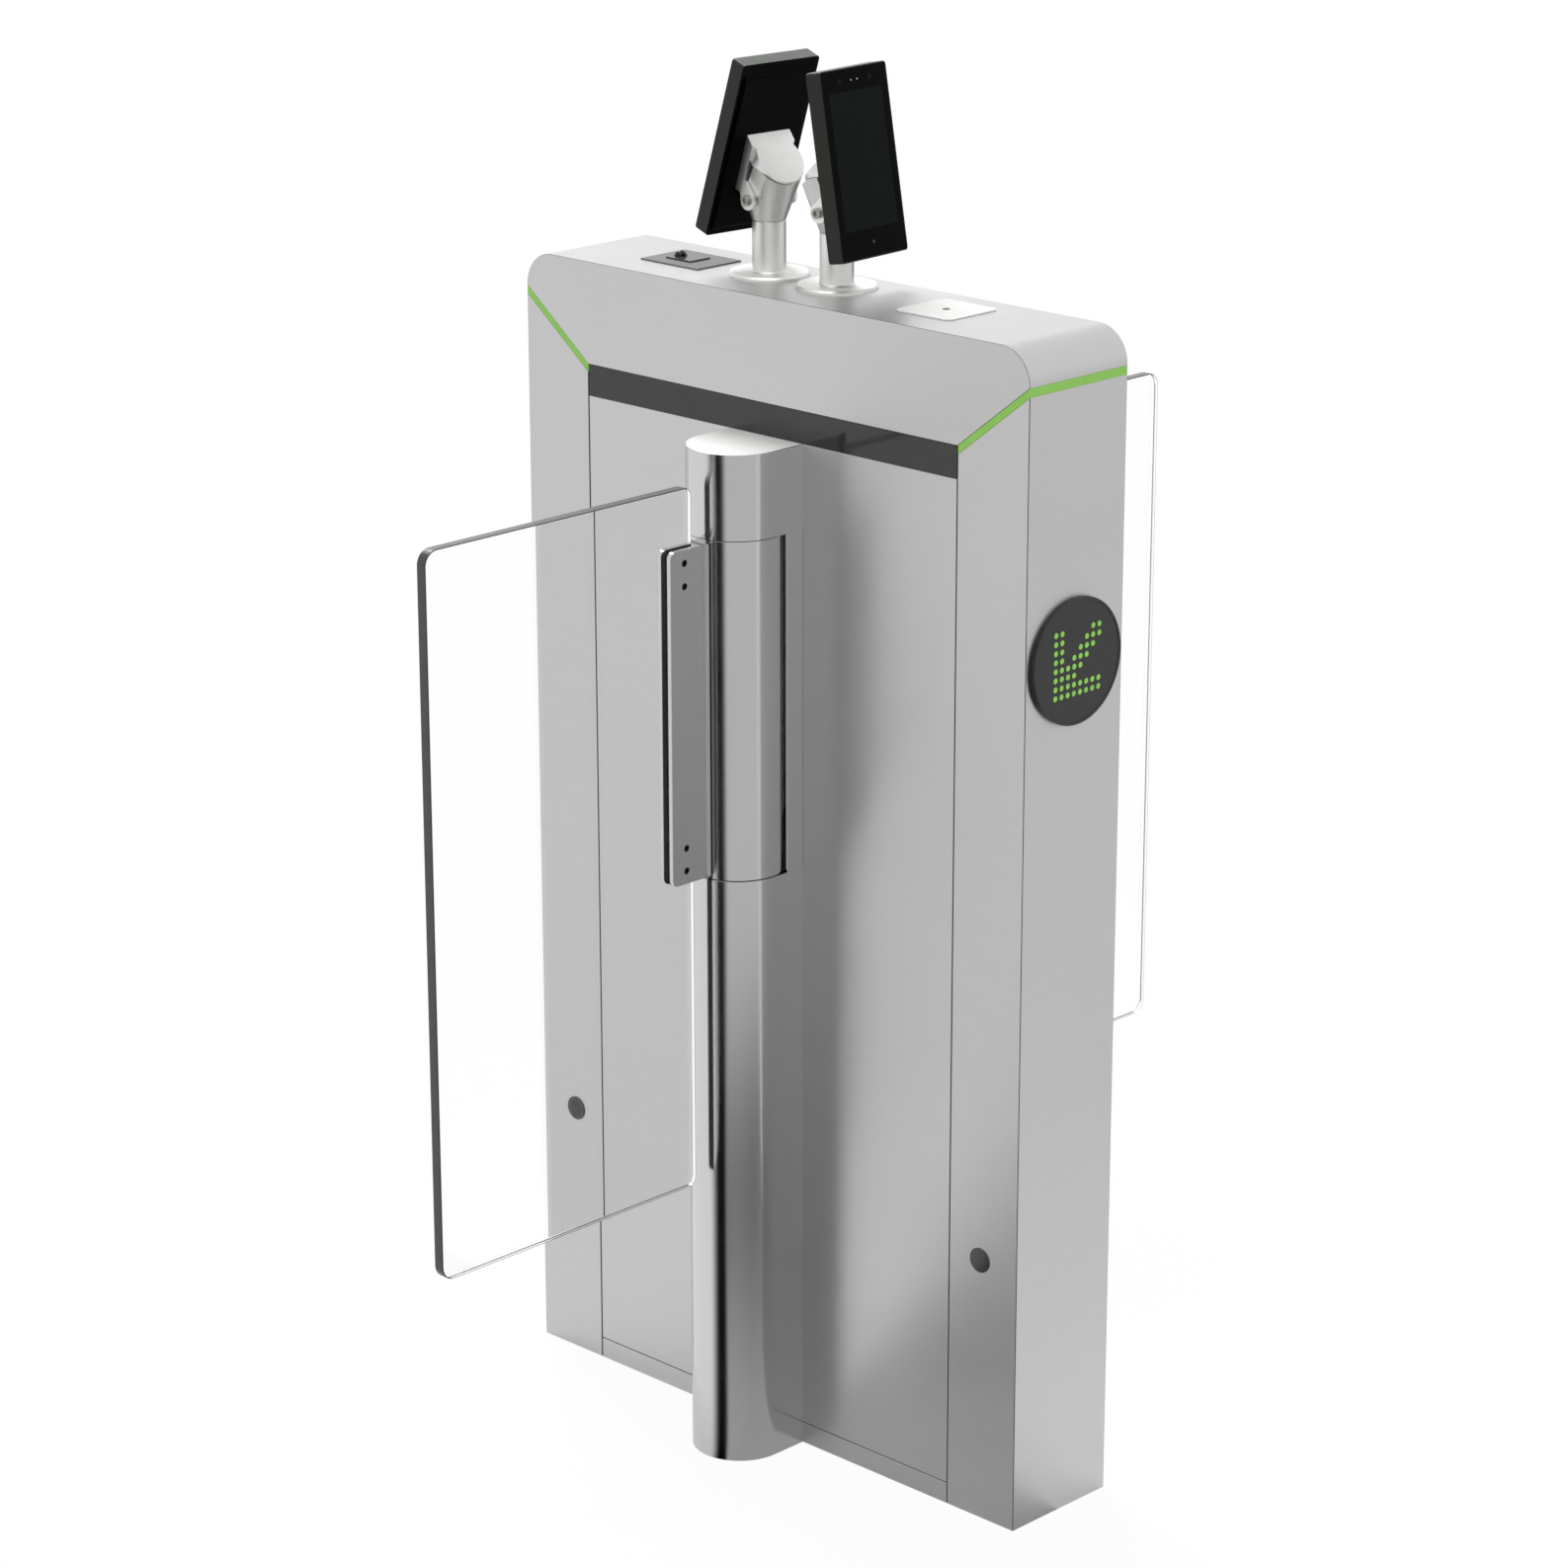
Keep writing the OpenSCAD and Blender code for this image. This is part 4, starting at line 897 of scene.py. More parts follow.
@dataclass
class Sensors:
    """The four infrared lenses in the end posts."""

    joinery: Joinery
    radius: float = 11.0 * MM
    stand: float = 1.2 * MM
    rim: float = 0.8 * MM
    crown: float = 0.25 * MM
    # Shares of the rim inwards and down, and of the radius and the crown's rise, at each point
    rim_points: tuple[Point, ...] = ((0.0, 0.4), (0.3, 0.12), (1.0, 0.0))
    crown_points: tuple[Point, ...] = ((0.6, 0.7), (0.3, 0.93), (0.0, 1.0))
    steps: int = 64

    def build(self) -> None:
        """Turns a crowned lens and sets it in its four places."""
        low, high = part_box("sensor_lenses")
        x = high.x - self.radius
        z = (low.z + high.z) / 2
        face = self.stand - self.crown
        rim = [(self.radius - self.rim * a, face - self.rim * b) for a, b in self.rim_points]
        crown = [(self.radius * a, face + self.crown * b) for a, b in self.crown_points]
        lens = Workpiece.turned([(0, 0), (self.radius, 0), *rim, *crown], self.steps)
        facing = Matrix.Rotation(math.pi / 2, 4, "X")
        places = []
        for side in (-1, 1):
            front = Matrix.Translation((side * x, low.y + self.stand, z)) @ facing
            places += [front, half_turn() @ front]
        self.joinery.finish(
            lens.set_out(places),
            "sensor_lenses_skin",
            "sensor_black",
            [SENSOR_LENS],
            nodes=["sensor_lenses"],
        )


@dataclass
class Displays:
    """The round direction displays on the end faces."""

    joinery: Joinery
    lip: float = 0.6 * MM
    dot_ease: float = 0.35 * MM

    def build(self) -> None:
        """Eases the bezels' rims and the lamps' heads."""
        self.joinery.eased_node("arrow_bezels", "black_plastic", BLACK_ABS, self.lip, 3)
        self.joinery.eased_node("arrow_leds", "green_light", LAMP_GREEN, self.dot_ease, 1)


# Columns


@dataclass
class Columns:
    """The round-fronted housings that carry the wings."""

    joinery: Joinery
    wall: float = 2.0 * MM
    rim: float = 0.5 * MM
    rim_steps: int = 3
    rim_degrees: float = 60.0
    half_round_steps: int = 96
    plate_ease: float = 0.3 * MM
    # Black rings of painted shade in the gaps above and below the drums
    shade_ring_play: float = 0.1 * MM
    shade_ring_recess: float = 0.7 * MM
    shade_ring_width: float = 5.0 * MM
    shade_ring_steps: int = 96

    def build(self) -> None:
        """Shapes the four housings, the side plates and the black rings of painted shade in the
        drum gaps.
        """
        for side in ("front", "back"):
            for part in ("upper", "lower"):
                self._housing(f"{side}_{part}_housing", side == "back", part == "upper")
        ease = self.plate_ease
        self.joinery.eased_node("side_plates", "polished_steel", POLISHED_STEEL, ease, 1)
        self._gap_shade_rings()

    def _gap_shade_rings(self) -> None:
        """Lays a dead black ring in the gaps above and below each drum, as painted shade for the
        gaps' shadow.
        """
        drum_low, drum_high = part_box("front_drum")
        axis_y = drum_high.x - drum_high.y
        outer = drum_high.x - self.shade_ring_recess
        inner = outer - self.shade_ring_width
        rings = Workpiece()
        for low, high in (
            (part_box("front_lower_housing")[1].z, drum_low.z),
            (drum_high.z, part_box("front_upper_housing")[0].z),
        ):
            foot, crown = low + self.shade_ring_play, high - self.shade_ring_play
            profile = [(inner, foot), (outer, foot), (outer, crown), (inner, crown)]
            ring = Workpiece.turned(profile, self.shade_ring_steps)
            places = [Matrix.Translation((0, side * axis_y, 0)) for side in (-1, 1)]
            rings.absorb(ring.set_out(places))
        self.joinery.finish(rings, "drum_gap_shade_rings", "rubber", [GAP_SHADE_BLACK])

    def _housing(self, node: str, is_back: bool, is_capped: bool) -> None:
        """Shapes one housing as a folded skin, open towards the cabinet.

        Args:
            node: The CAD node.
            is_back: Whether it stands on the back face.
            is_capped: Whether a top plate closes it.
        """
        low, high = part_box(node)
        back, reach = sorted((abs(low.y), abs(high.y)))
        axis_y = high.x - reach
        work = Workpiece()
        bm = work.bm
        start = bm.verts.new((-high.x, axis_y, low.z))
        bmesh.ops.spin(
            bm,
            geom=[start],
            cent=(0, axis_y, low.z),
            axis=UP,
            angle=math.pi,
            steps=self.half_round_steps,
        )
        ends = [v for v in bm.verts if len(v.link_edges) == 1]
        grown = bmesh.ops.extrude_vert_indiv(bm, verts=ends)["verts"]
        for vert in grown:
            vert.co.y = -back
        path = list(bm.edges)
        rise = high.z - low.z
        if is_capped:
            closing = bm.edges.new(grown)
            bmesh.ops.contextual_create(bm, geom=[*path, closing])
            bmesh.ops.translate(bm, vec=(0, 0, rise), verts=bm.verts)
            rise = -rise
        skirt = bmesh.ops.extrude_edge_only(bm, edges=path)["geom"]
        skirt_verts = [g for g in skirt if isinstance(g, bmesh.types.BMVert)]
        bmesh.ops.translate(bm, vec=(0, 0, rise), verts=skirt_verts)
        bmesh.ops.recalc_face_normals(bm, faces=bm.faces)
        walls = [face for face in bm.faces if abs(face.normal.z) < FACING]
        if min(walls, key=lambda face: face.calc_center_median().y).normal.y > 0:
            bmesh.ops.reverse_faces(bm, faces=bm.faces)
        finishes = [POLISHED_STEEL]
        if is_capped:
            work.ease(self.rim, self.rim_steps, self.rim_degrees)
            # The top faces take the cap finish, painted nearly white as painted light from above
            for face in bm.faces:
                face.material_index = 1 if face.normal.z > ALONG else 0
            finishes.append(CAP_PAINTED_LIGHT)
        if is_back:
            work.place(half_turn())
        self.joinery.finish(
            work, f"{node}_skin", "polished_steel", finishes, nodes=[node], wall=self.wall
        )


# Wings


@dataclass
class Wing:
    """One swinging wing: drum, clamp, screws and glass."""

    joinery: Joinery
    side: str
    drum_rim: float = 0.35 * MM
    drum_wall: float = 2.0 * MM
    turn_steps: int = 192
    blade_ease: float = 0.3 * MM
    outer_corner: float = 13.0 * MM
    outer_steps: int = 14
    inner_corner: float = 8.0 * MM
    inner_steps: int = 8
    glass_chamfer: float = 0.9 * MM
    # How far up or down an edge face has to look to be a level edge
    level_from: float = 0.8
    plate_ease: float = 0.7 * MM
    screw_ease: float = 0.25 * MM

    def build(self) -> None:
        """Shapes and dresses every piece of the wing."""
        self._drum()
        self._glass()
        body = f"{self.side}_wing"
        for part, slot, finish, width, steps in (
            ("clamp_plates", "polished_steel", POLISHED_STEEL, self.plate_ease, 2),
            ("clamp_screws", "screw_black", BLACK_OXIDE, self.screw_ease, 1),
        ):
            self.joinery.eased_node(f"{self.side}_{part}", slot, finish, width, steps, body)

    def _drum(self) -> None:
        """Turns the drum's skin and adds the blade that the clamp holds."""
        node = f"{self.side}_drum"
        low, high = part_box(node)
        is_front = self.side == "front"
        radius = high.x
        near, tip = (high.y, low.y) if is_front else (low.y, high.y)
        outwards = -1 if is_front else 1
        axis_y = near + outwards * radius
        inner = radius - self.drum_wall
        rim = [(radius - self.drum_rim * a, self.drum_rim * b) for a, b in RIM_POINTS]
        lower = [(r, low.z + rise) for r, rise in rim]
        upper = [(r, high.z - rise) for r, rise in reversed(rim)]
        profile = [(inner, low.z), *lower, *upper, (inner, high.z)]
        drum = Workpiece.turned(profile, self.turn_steps)
        drum.place(Matrix.Translation((0, axis_y, 0)))
        plates_low, plates_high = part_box(f"{self.side}_clamp_plates")
        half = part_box(f"{self.side}_glass_gaskets")[1].x
        root = axis_y + outwards * (radius - self.drum_wall / 2)
        least, most = sorted((root, tip))
        blade = Workpiece.block((-half, least, plates_low.z), (half, most, plates_high.z))
        blade.ease(self.blade_ease, 1)
        drum.absorb(blade)
        body = f"{self.side}_wing"
        finishes = [POLISHED_STEEL]
        self.joinery.finish(drum, f"{node}_skin", "polished_steel", finishes, body, [node])

    def _glass(self) -> None:
        """Cuts the glass, rounds its corners and polishes its edges."""
        node = f"{self.side}_glass_wing"
        low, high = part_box(node)
        work = Workpiece.block(low, high)
        tip = low.y if self.side == "front" else high.y
        across = work.edges_along(Axis.X)
        far = [edge for edge in across if abs(edge.verts[0].co.y - tip) < MM]
        near = [edge for edge in across if edge not in far]
        work.bevel(far, self.outer_corner, self.outer_steps)
        work.bevel([e for e in near if e.is_valid], self.inner_corner, self.inner_steps)
        work.ease(self.glass_chamfer)
        # Level edges take the grey ground edge, upright ends the darker grey of painted shade
        for face in work.bm.faces:
            rim = 1 if abs(face.normal.z) > self.level_from else 2
            face.material_index = 0 if abs(face.normal.x) > ALONG else rim
        finishes = [WING_GLASS, GLASS_EDGE, GLASS_END_SHADED]
        body = f"{self.side}_wing"
        self.joinery.finish(work, f"{node}_pane", "clear_glass", finishes, body, [node])


# Readers


@dataclass
class Readers:
    """The scanner and the card reader in the top."""

    joinery: Joinery
    plate_ease: float = 0.3 * MM
    cover_ease: float = 0.35 * MM
    eye_ease: float = 0.1 * MM
    arc_steps: int = 16
    dome_steps: int = 48

    def build(self) -> None:
        """Shapes and dresses both readers."""
        for node, slot, finish, width, steps in (
            ("scanner_plate", "scanner_grey", SCANNER_LACQUER, self.plate_ease, 2),
            ("scanner_window", "scanner_black", SCAN_WINDOW, self.cover_ease, 2),
            ("card_reader_plate", "reader_white", WHITE_ABS, self.cover_ease, 2),
            ("card_reader_eye", "scanner_black", DOME_BLACK, self.eye_ease, 1),
        ):
            self.joinery.eased_node(node, slot, finish, width, steps)
        self._dome()

    def _dome(self) -> None:
        """Turns the scanner's dome."""
        low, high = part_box("scanner_dome")
        radius = high.z - low.z
        arc = [(radius * a, radius * b) for a, b in quarter_arc(self.arc_steps)]
        arc[-1] = (0.0, radius)
        dome = Workpiece.turned([(0, 0), *arc], self.dome_steps)
        middle = (low + high) / 2
        dome.place(Matrix.Translation((middle.x, middle.y, low.z)))
        self.joinery.finish(
            dome, "scanner_dome_skin", "scanner_black", [DOME_BLACK], nodes=["scanner_dome"]
        )


# Terminals


@dataclass
class Stands:
    """The two poles with their flanges."""

    joinery: Joinery
    flange_radius: float = 35.0 * MM
    flange_height: float = 3.5 * MM
    bevel: float = 1.5 * MM
    fillet_steps: int = 5
    pole_radius: float = 14.5 * MM
    wall: float = 2.5 * MM
    rim: float = 0.5 * MM
    steps: int = 128

    def build(self) -> None:
        """Turns one stand and sets it in both places."""
        low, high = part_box("pole_stands")
        height = high.z - low.z
        inner = self.pole_radius - self.wall
        foot = self.pole_radius + self.bevel
        fillet = [
            (foot - self.bevel * b, self.flange_height + self.bevel * (1 - a))
            for a, b in quarter_arc(self.fillet_steps)
        ]
        profile = [
            (inner, 0),
            (self.flange_radius, 0),
            (self.flange_radius, self.flange_height - self.bevel),
            (self.flange_radius - self.bevel, self.flange_height),
            *fillet,
            (self.pole_radius, height - self.rim),
            (self.pole_radius - self.rim, height),
            (inner, height),
        ]
        y = (low.y + high.y) / 2
        spots = (low.x + self.flange_radius, high.x - self.flange_radius)
        places = [Matrix.Translation((x, y, low.z)) for x in spots]
        self.joinery.finish(
            Workpiece.turned(profile, self.steps).set_out(places),
            "pole_stands_skin",
            "satin_aluminium",
            [SATIN_ALUMINIUM],
            nodes=["pole_stands"],
            sharp_degrees=35,
        )


@dataclass
class Terminal:
    """One face terminal with its neck, bracket and pivot screw.

    Its pieces are shaped in a frame whose origin is the tilt pivot and in which it looks
    along +X, and are then set at its heading and tilt.
    """

    joinery: Joinery
    side: str
    heading_degrees: float
    tilt_degrees: float
    pole_x: float
    pole_y: float = 10.0 * MM
    pivot_z: float = 1097.5 * MM
    joint_ease: float = 0.5 * MM
    screw_ease: float = 0.4 * MM
    back: float = 18.0 * MM
    front: float = 36.0 * MM
    half_width: float = 42.5 * MM
    low: float = -41.5 * MM
    high: float = 116.5 * MM
    corner: float = 3.0 * MM
    corner_steps: int = 6
    case_ease: float = 0.8 * MM
    cover_rise: float = 3.0 * MM
    cover_step: float = 9.0 * MM
    cover_degrees: float = 30.0
    glass_rim: float = 1.25 * MM
    glass_depth: float = 2.0 * MM
    glass_ease: float = 0.2 * MM
    glass_steps: int = 4
    screen_side: float = 9.0 * MM
    screen_top: float = 19.5 * MM
    screen_bottom: float = 24.5 * MM
    lens_offset: float = 19.5 * MM
    lens_drop: float = 10.6 * MM
    lens_radius: float = 2.6 * MM
    lamp_offset: float = 4.0 * MM
    lamp_radius: float = 0.8 * MM
    dot_rise: float = 13.0 * MM
    dot_radius: float = 1.6 * MM
    mark_sink: float = 0.1 * MM
    # Share of the radius, and the height, at each point of a mark's crown
    mark_points: tuple[Point, ...] = ((1.0, 0.08 * MM), (0.8, 0.16 * MM), (0.0, 0.2 * MM))
    mark_steps: int = 32

    def placing(self) -> Matrix:
        """Works out where the pieces that tilt with the bracket go.

        Returns:
            Their placing in the row frame.
        """
        spot = Matrix.Translation((self.pole_x, self.pole_y, self.pivot_z))
        turn = Matrix.Rotation(math.radians(self.heading_degrees), 4, "Z")
        return spot @ turn @ Matrix.Rotation(math.radians(-self.tilt_degrees), 4, "Y")

    def build(self) -> None:
        """Shapes and dresses every piece of the terminal."""
        for part, body, finish, width in (
            ("neck", "swivel", SILVER_LACQUER, self.joint_ease),
            ("bracket", "head", SATIN_ALUMINIUM, self.joint_ease),
            ("pivot_screw", "head", PLATED_STEEL, self.screw_ease),
        ):
            node = f"{self.side}_{part}"
            carrier = f"{self.side}_{body}"
            self.joinery.eased_node(node, "satin_aluminium", finish, width, body=carrier)
        self._case()
        self._glass()
        self._marks()

    def _case(self) -> None:
        """Shapes the case with its raised back cover."""
        cover_front = self.back + self.cover_rise
        case = Workpiece.block(
            (cover_front, -self.half_width, self.low), (self.front, self.half_width, self.high)
        )
        case.bevel(case.edges_along(Axis.X), self.corner, self.corner_steps)
        bm = case.bm
        rim = [max(bm.faces, key=lambda face: face.calc_center_median().x)]
        bmesh.ops.inset_region(bm, faces=rim, thickness=self.glass_rim, depth=0.0)
        floor = bmesh.ops.extrude_face_region(bm, geom=rim)["geom"]
        bmesh.ops.delete(bm, geom=rim, context="FACES")
        sunk = [g for g in floor if isinstance(g, bmesh.types.BMVert)]
        bmesh.ops.translate(bm, vec=(-self.glass_depth, 0, 0), verts=sunk)
        case.ease(self.case_ease / 2)
        side = self.half_width - self.cover_step / 2
        cover = Workpiece.block(
            (self.back, -side, self.low + self.cover_step / 2),
            (cover_front + MM, side, self.high - self.cover_step),
        )
        for vert in cover.bm.verts:
            if vert.co.x < self.back + MM:
                vert.co.z += self.cover_rise if vert.co.z < 0 else -self.cover_rise
        cover.ease(self.case_ease, least_degrees=self.cover_degrees)
        for face in cover.bm.faces:
            face.material_index = 1
        case.absorb(cover)
        # The back faces take the smooth cover, and the top faces are painted grey as painted light
        # from above
        for face in bm.faces:
            if face.normal.x < -FACING:
                face.material_index = 1
            elif face.normal.z > FACING:
                face.material_index = 2
        case.place(self.placing())
        node, body = f"{self.side}_terminal_case", f"{self.side}_head"
        finishes = [CASE_BLACK, COVER_BLACK, CASE_TOP_PAINTED_LIGHT]
        self.joinery.finish(case, f"{node}_skin", "terminal_black", finishes, body, [node])

    def _glass(self) -> None:
        """Cuts the front glass, with the screen as an area of its own."""
        rim = self.glass_rim
        pane = Workpiece.block(
            (self.front - self.glass_depth, rim - self.half_width, self.low + rim),
            (self.front, self.half_width - rim, self.high - rim),
        )
        pane.bevel(pane.edges_along(Axis.X), self.corner - rim, self.glass_steps)
        pane.ease(self.glass_ease, 1)
        side = self.half_width - self.screen_side
        bottom, top = self.low + self.screen_bottom, self.high - self.screen_top
        cuts = [((0, 0, z), (0, 0, 1)) for z in (bottom, top)]
        cuts += [((0, y, 0), (0, 1, 0)) for y in (-side, side)]
        bm = pane.bm
        for point, normal in cuts:
            geom = [*bm.verts, *bm.edges, *bm.faces]
            bmesh.ops.bisect_plane(bm, geom=geom, plane_co=point, plane_no=normal)
        for face in bm.faces:
            centre = face.calc_center_median()
            is_within = abs(centre.y) < side and bottom < centre.z < top
            face.material_index = 1 if is_within and face.normal.x > FACING else 0
        pane.place(self.placing())
        node, body = f"{self.side}_terminal_glass", f"{self.side}_head"
        finishes = [PRINTED_GLASS, DARK_SCREEN]
        self.joinery.finish(pane, f"{node}_pane", "terminal_glass", finishes, body, [node])

    def _marks(self) -> None:
        """Adds the camera lenses, the small lamps and the plain dot on the glass."""
        top, bottom = self.high - self.lens_drop, self.low + self.dot_rise
        lens, lamp = self.lens_offset, self.lamp_offset
        facing = Matrix.Rotation(math.pi / 2, 4, "Y")
        for name, finish, radius, height, offsets in (
            ("camera_lenses", LENS_GLASS, self.lens_radius, top, (-lens, lens)),
            ("front_lamps", LAMP_WHITE, self.lamp_radius, top, (-lamp, lamp)),
            ("front_dot", PLAIN_DOT, self.dot_radius, bottom, (0.0,)),
        ):
            crown = [(radius * share, rise) for share, rise in self.mark_points]
            disc = Workpiece.turned([(0, 0), (radius, 0), *crown], self.mark_steps)
            spots = [(self.front - self.mark_sink, y, height) for y in offsets]
            places = [self.placing() @ Matrix.Translation(spot) @ facing for spot in spots]
            body = f"{self.side}_head"
            self.joinery.finish(
                disc.set_out(places), f"{self.side}_{name}", "terminal_glass", [finish], body
            )


# Studio


@dataclass(frozen=True)
class Softbox:
    """A large, far and soft lamp, placed by angles about the object."""

    name: str
    azimuth_degrees: float
    height_degrees: float
    spread_degrees: float
    strength: float
    distance: float = 4.0

    def hang(self) -> None:
        """Hangs the lamp and aims it at the object."""
        data = bpy.data.lights.new(self.name, "SUN")
        data.energy = self.strength
        data.angle = math.radians(self.spread_degrees)
        azimuth = math.radians(self.azimuth_degrees)
        height = math.radians(self.height_degrees)
        level = Vector((math.cos(azimuth), math.sin(azimuth), 0))
        towards = level * math.cos(height) + UP * math.sin(height)
        lamp = bpy.data.objects.new(self.name, data)
        lamp.location = towards * self.distance
        lamp.rotation_euler = (-towards).to_track_quat("-Z", "Y").to_euler()
        bpy.context.scene.collection.objects.link(lamp)


@dataclass
class Studio:
    """The plain floor, the soft lamps, the pale world and the camera.

    In the steel's reflections only, the floor shows a painted dark band and painted shade,
    which stand in for a dark reflection and for the object's shadow.
    """

    camera_place: tuple[float, float, float] = (2.667, -2.7648, 1.8233)
    camera_degrees: tuple[float, float, float] = (90 - 17.76, 0.07, 44.35)
    lens_mm: float = 106.7
    sensor_mm: float = 36.0
    clip_end: float = 100.0
    softboxes: tuple[Softbox, ...] = (
        Softbox("far_softbox", 155.0, 50.0, 24.0, 1.75),
        Softbox("high_softbox", -60.0, 74.0, 50.0, 1.0),
    )
    # How bright the world is to the object, when 1 is the white that the eye sees
    world_fill: float = 0.42
    floor_radius: float = 30.0
    floor_drop: float = 0.2 * MM
    floor_steps: int = 64
    floor_roughness: float = 0.9
    near_white: float = 0.93
    white_reach: Range = (0.5, 2.2)
    glossy_white: float = 0.4
    # The point that the painted dark band spreads from, and the slopes over which each pattern sets
    # in or ends
    apex_y: float = 116.0 * MM
    apex_shift: float = 15.0 * MM
    dark_band_rise: Range = (-0.53, -0.14)
    dark_band_fall: Range = (0.08, 0.54)
    shade_fall: Range = (0.05, 0.45)
    # How dark the painted shade in the reflections is, and how far out it is darkest; it stands for
    # the object's shadow
    far_shade_share: float = 0.3
    peak_shade_share: float = 0.74
    peak_shade_reach: float = 0.72
    peak_shade_spread: float = 0.85
    dim_reach: Range = (0.3, 1.2)
    dim_share: float = 0.16

    def build(self) -> None:
        """Sets up everything that isn't part of the object."""
        self._camera()
        self._world()
        self._floor()
        for softbox in self.softboxes:
            softbox.hang()
        bpy.context.scene.view_settings.view_transform = "Standard"

    def _camera(self) -> None:
        """Places the camera at the photograph's viewing angle."""
        data = bpy.data.cameras.new("camera")
        data.lens = self.lens_mm
        data.sensor_width = self.sensor_mm
        data.clip_end = self.clip_end
        camera = bpy.data.objects.new("camera", data)
        camera.location = self.camera_place
        camera.rotation_euler = [math.radians(a) for a in self.camera_degrees]
        bpy.context.scene.collection.objects.link(camera)
        bpy.context.scene.camera = camera

    def _world(self) -> None:
        """Makes the world white to the eye and a soft fill to the object."""
        world = bpy.data.worlds.new("studio")
        bpy.context.scene.world = world
        world.use_nodes = True
        tree = world.node_tree
        tree.nodes.clear()
        rays = add_node(tree, "LightPath").outputs
        seen = rays["Is Camera Ray"]
        for ray in (rays["Is Transmission Ray"], rays["Is Glossy Ray"]):
            either = {"operation": "MAXIMUM", 0: seen, 1: ray}
            seen = add_node(tree, "Math", either).outputs[0]
        fill = {"Value": seen, "To Min": self.world_fill, "To Max": 1.0}
        strength = add_node(tree, "MapRange", fill).outputs[0]
        white = {"Color": linear("#FFFFFF"), "Strength": strength}
        back = add_node(tree, "Background", white)
        add_node(tree, "OutputWorld", {"Surface": back.outputs[0]})

    def _floor(self) -> None:
        """Lays a plain pale floor that keeps the object's shadow."""
        mesh = bpy.data.meshes.new("floor")
        bm = bmesh.new()
        bmesh.ops.create_circle(
            bm, cap_ends=True, radius=self.floor_radius, segments=self.floor_steps
        )
        bmesh.ops.translate(bm, vec=(0, 0, -self.floor_drop), verts=bm.verts)
        bm.to_mesh(mesh)
        bm.free()
        floor = bpy.data.objects.new("floor", mesh)
        bpy.context.scene.collection.objects.link(floor)
        paint = {"Base Color": linear("#F2F2F2"), "Roughness": self.floor_roughness}
        paint["Specular IOR Level"] = 0.0
        material, tree, shader = new_material("pale_floor", paint)
        place = add_node(tree, "TexCoord").outputs["Object"]
        rays = add_node(tree, "LightPath").outputs
        white = add_node(tree, "Emission", {"Color": linear("#FFFFFF"), "Strength": 1.0})
        layers = {0: self._white_share(tree, place), 1: shader.outputs[0], 2: white.outputs[0]}
        pale = add_node(tree, "MixShader", layers)
        # Reflections in the steel see the painted dark band and shade, those inside the glass don't
        mirror = {"operation": "SUBTRACT", "use_clamp": True}
        mirror |= {0: rays["Is Glossy Ray"], 1: rays["Is Transmission Ray"]}
        mirror_ray = add_node(tree, "Math", mirror).outputs[0]
        cover = {"operation": "MULTIPLY", 0: self._painted_reflection_share(tree, place), 1: mirror_ray}
        mirrored = add_node(tree, "Math", cover).outputs[0]
        # Near-black diffuse for the painted dark band and painted shade, which only reflections see
        dark_band = add_node(tree, "BsdfDiffuse", {"Color": linear("#060606")})
        covered = {0: mirrored, 1: pale.outputs[0], 2: dark_band.outputs[0]}
        show(tree, add_node(tree, "MixShader", covered).outputs[0])
        mesh.materials.append(material)

    def _white_share(self, tree: Tree, place: Socket) -> Socket:
        """Makes the floor white to the eye, and less so near the object and in reflections.

        Args:
            tree: The floor's node tree.
            place: The Object coordinates.

        Returns:
            The share of plain white.
        """
        rays = add_node(tree, "LightPath").outputs
        reach = add_node(tree, "VectorMath", {"operation": "LENGTH", 0: place})
        distance = reach.outputs["Value"]
        near, far = self.white_reach
        away = {"interpolation_type": "SMOOTHSTEP", "Value": distance}
        away |= {"From Min": near, "From Max": far, "To Min": self.near_white, "To Max": 1.0}
        dimmed = {"operation": "MULTIPLY", 0: rays["Is Glossy Ray"], 1: self.glossy_white}
        share = rays["Is Camera Ray"]
        for operation, other in (
            ("MAXIMUM", rays["Is Transmission Ray"]),
            ("MULTIPLY", add_node(tree, "MapRange", away).outputs[0]),
            ("MAXIMUM", add_node(tree, "Math", dimmed).outputs[0]),
        ):
            step = {"operation": operation, 0: share, 1: other}
            share = add_node(tree, "Math", step).outputs[0]
        return share

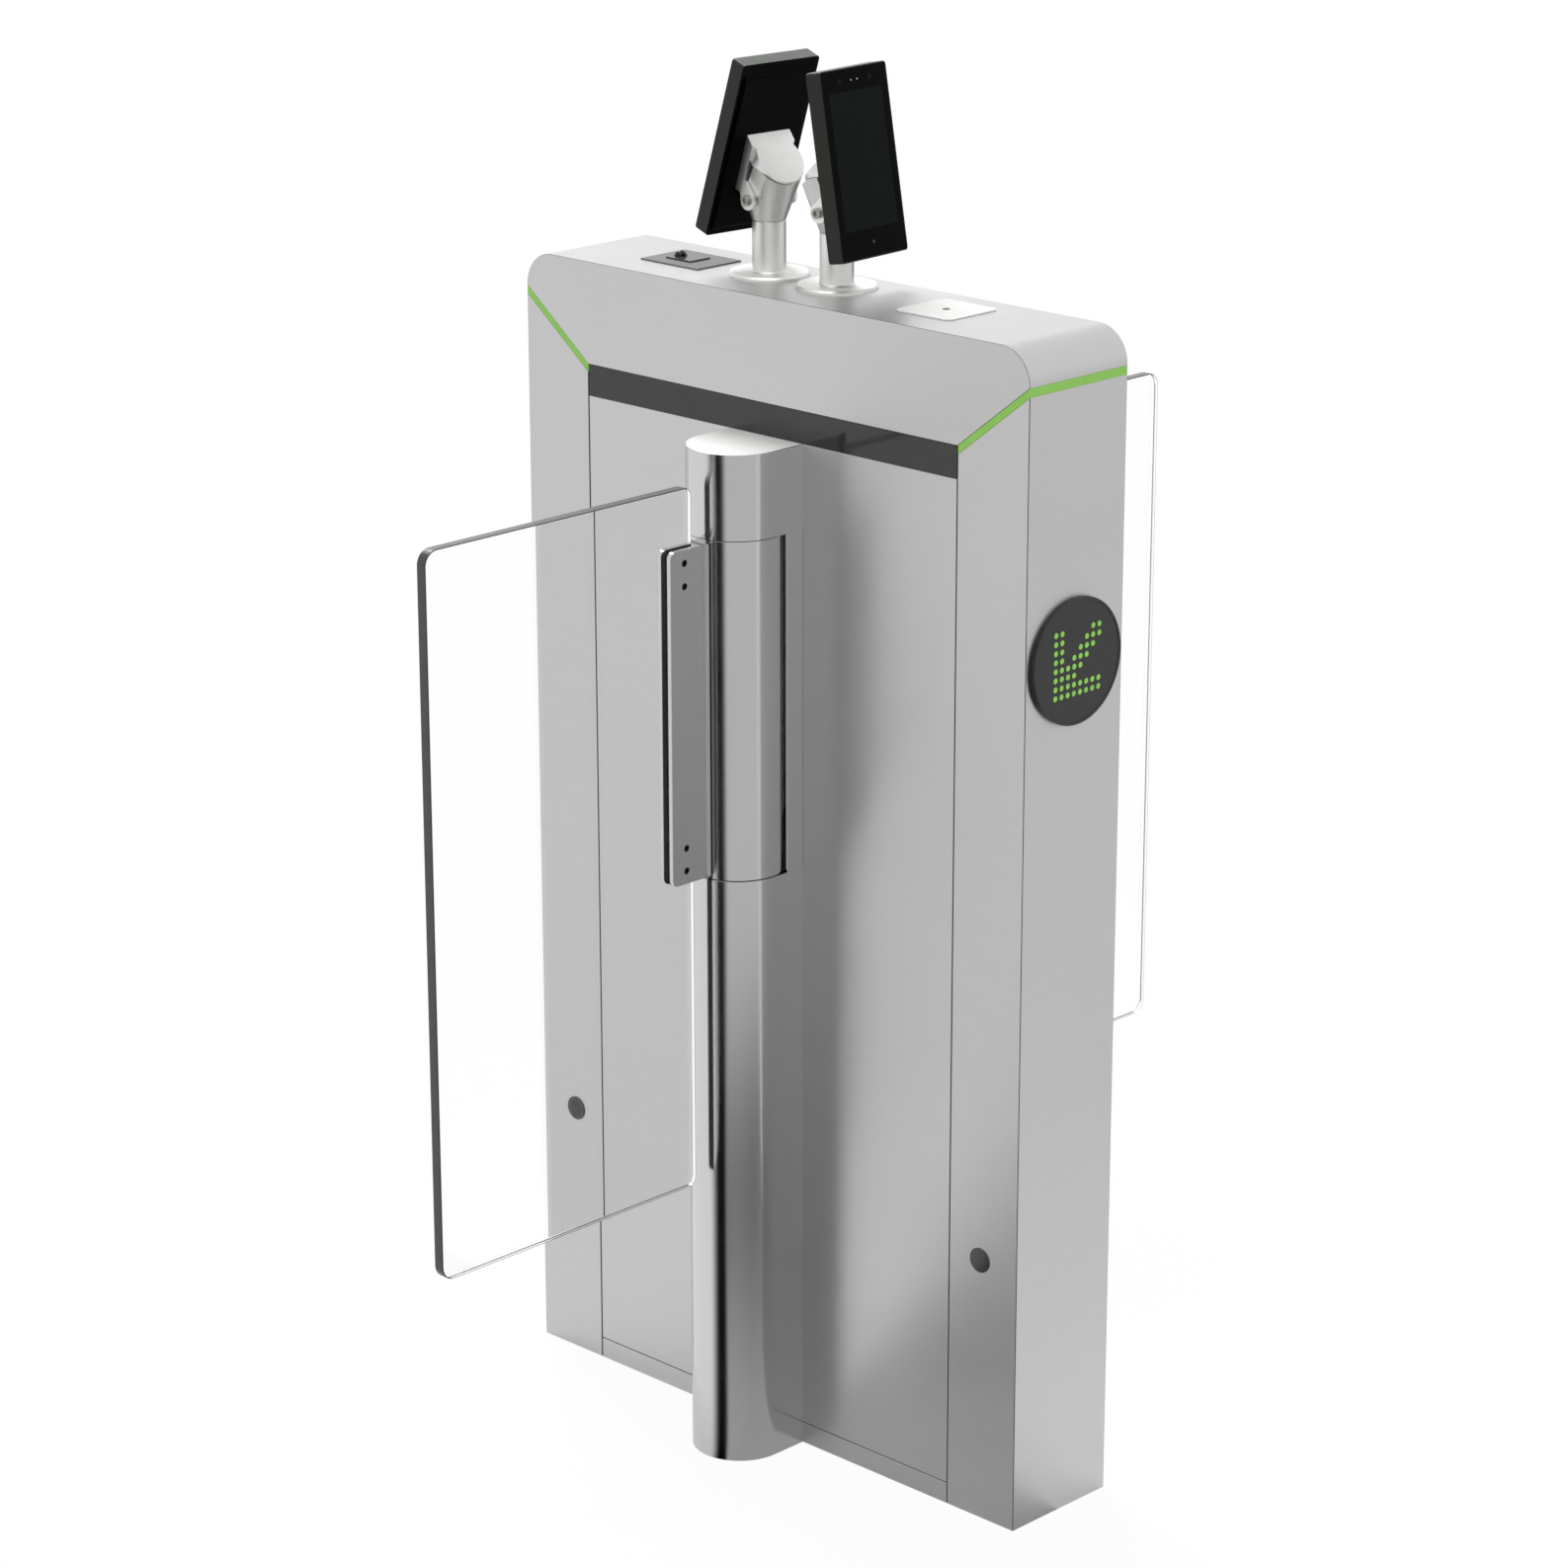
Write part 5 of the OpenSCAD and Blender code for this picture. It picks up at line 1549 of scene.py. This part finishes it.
    def _painted_reflection_share(self, tree: Tree, place: Socket) -> Socket:
        """Draws the painted reflections on the floor: a dark band with soft edges, spread out from
        the foot of each column.

        Each edge is a slope: sideways over forwards, from a point in front of the column. The
        back band is the front one after a half turn. Grey painted shade, which stands for the
        object's shadow, lies beside the band.

        Args:
            tree: The floor's node tree.
            place: The Object coordinates.

        Returns:
            The share of painted dark band and shade, 1 in the band's middle.
        """
        parts = add_node(tree, "SeparateXYZ", {"Vector": place}).outputs
        distance = add_node(tree, "VectorMath", {"operation": "LENGTH", 0: place})
        known = {"x": parts["X"], "y": parts["Y"], "distance": distance.outputs["Value"]}
        for name, operation, first, second in (
            ("side", "SIGN", "y", 0.0),
            ("turned", "MULTIPLY", "x", "side"),
            ("across", "ADD", "turned", self.apex_shift),
            ("depth", "ABSOLUTE", "y", 0.0),
            ("beyond", "SUBTRACT", "depth", self.apex_y),
            ("ahead", "MAXIMUM", "beyond", MM),
            ("slope", "DIVIDE", "across", "ahead"),
            ("astray", "SUBTRACT", "distance", self.peak_shade_reach),
            ("off", "ABSOLUTE", "astray", 0.0),
        ):
            # A name stands for its socket, a number for itself
            step = {"operation": operation, 0: known[first], 1: known.get(second, second)}
            known[name] = add_node(tree, "Math", step).outputs[0]
        for name, value, (near, far), (least, most) in (
            ("rise", "slope", self.dark_band_rise, (0.0, 1.0)),
            ("fall", "slope", self.dark_band_fall, (1.0, 0.0)),
            ("beside", "slope", self.shade_fall, (1.0, 0.0)),
            ("grey", "off", (0.0, self.peak_shade_spread), (self.peak_shade_share, self.far_shade_share)),
            ("dim", "x", self.dim_reach, (0.0, self.dim_share)),
        ):
            soft = {"interpolation_type": "SMOOTHSTEP", "Value": known[value]}
            soft |= {"From Min": near, "From Max": far, "To Min": least, "To Max": most}
            known[name] = add_node(tree, "MapRange", soft).outputs[0]
        # The painted dark band and the grey patches of painted shade beside it, the darker of them
        # wins
        for name, operation, first, second in (
            ("dark_band", "MULTIPLY", "rise", "fall"),
            ("card", "MULTIPLY", "beside", "grey"),
            ("shade_patches", "MAXIMUM", "card", "dim"),
            ("all", "MAXIMUM", "dark_band", "shade_patches"),
        ):
            step = {"operation": operation, 0: known[first], 1: known[second]}
            known[name] = add_node(tree, "Math", step).outputs[0]
        return known["all"]


# All together


def main() -> None:
    """Builds every sub-assembly in order."""
    logging.basicConfig(level=logging.INFO, format="%(name)s: %(message)s")
    joinery = Joinery(Palette())
    Cabinet(joinery).build()
    Sensors(joinery).build()
    Displays(joinery).build()
    Columns(joinery).build()
    for side in ("front", "back"):
        Wing(joinery, side).build()
    Readers(joinery).build()
    Stands(joinery).build()
    for side, heading_degrees, tilt_degrees, pole_x in (
        ("left", 175.5, 18.5, -64.5 * MM),
        ("right", 3.5, 9.5, 15.0 * MM),
    ):
        Terminal(joinery, side, heading_degrees, tilt_degrees, pole_x).build()
    Studio().build()
    log.info("%d pieces made, %d CAD nodes dressed", len(joinery.table), len(CAD_FINISHES))


if __name__ == "__main__":
    main()
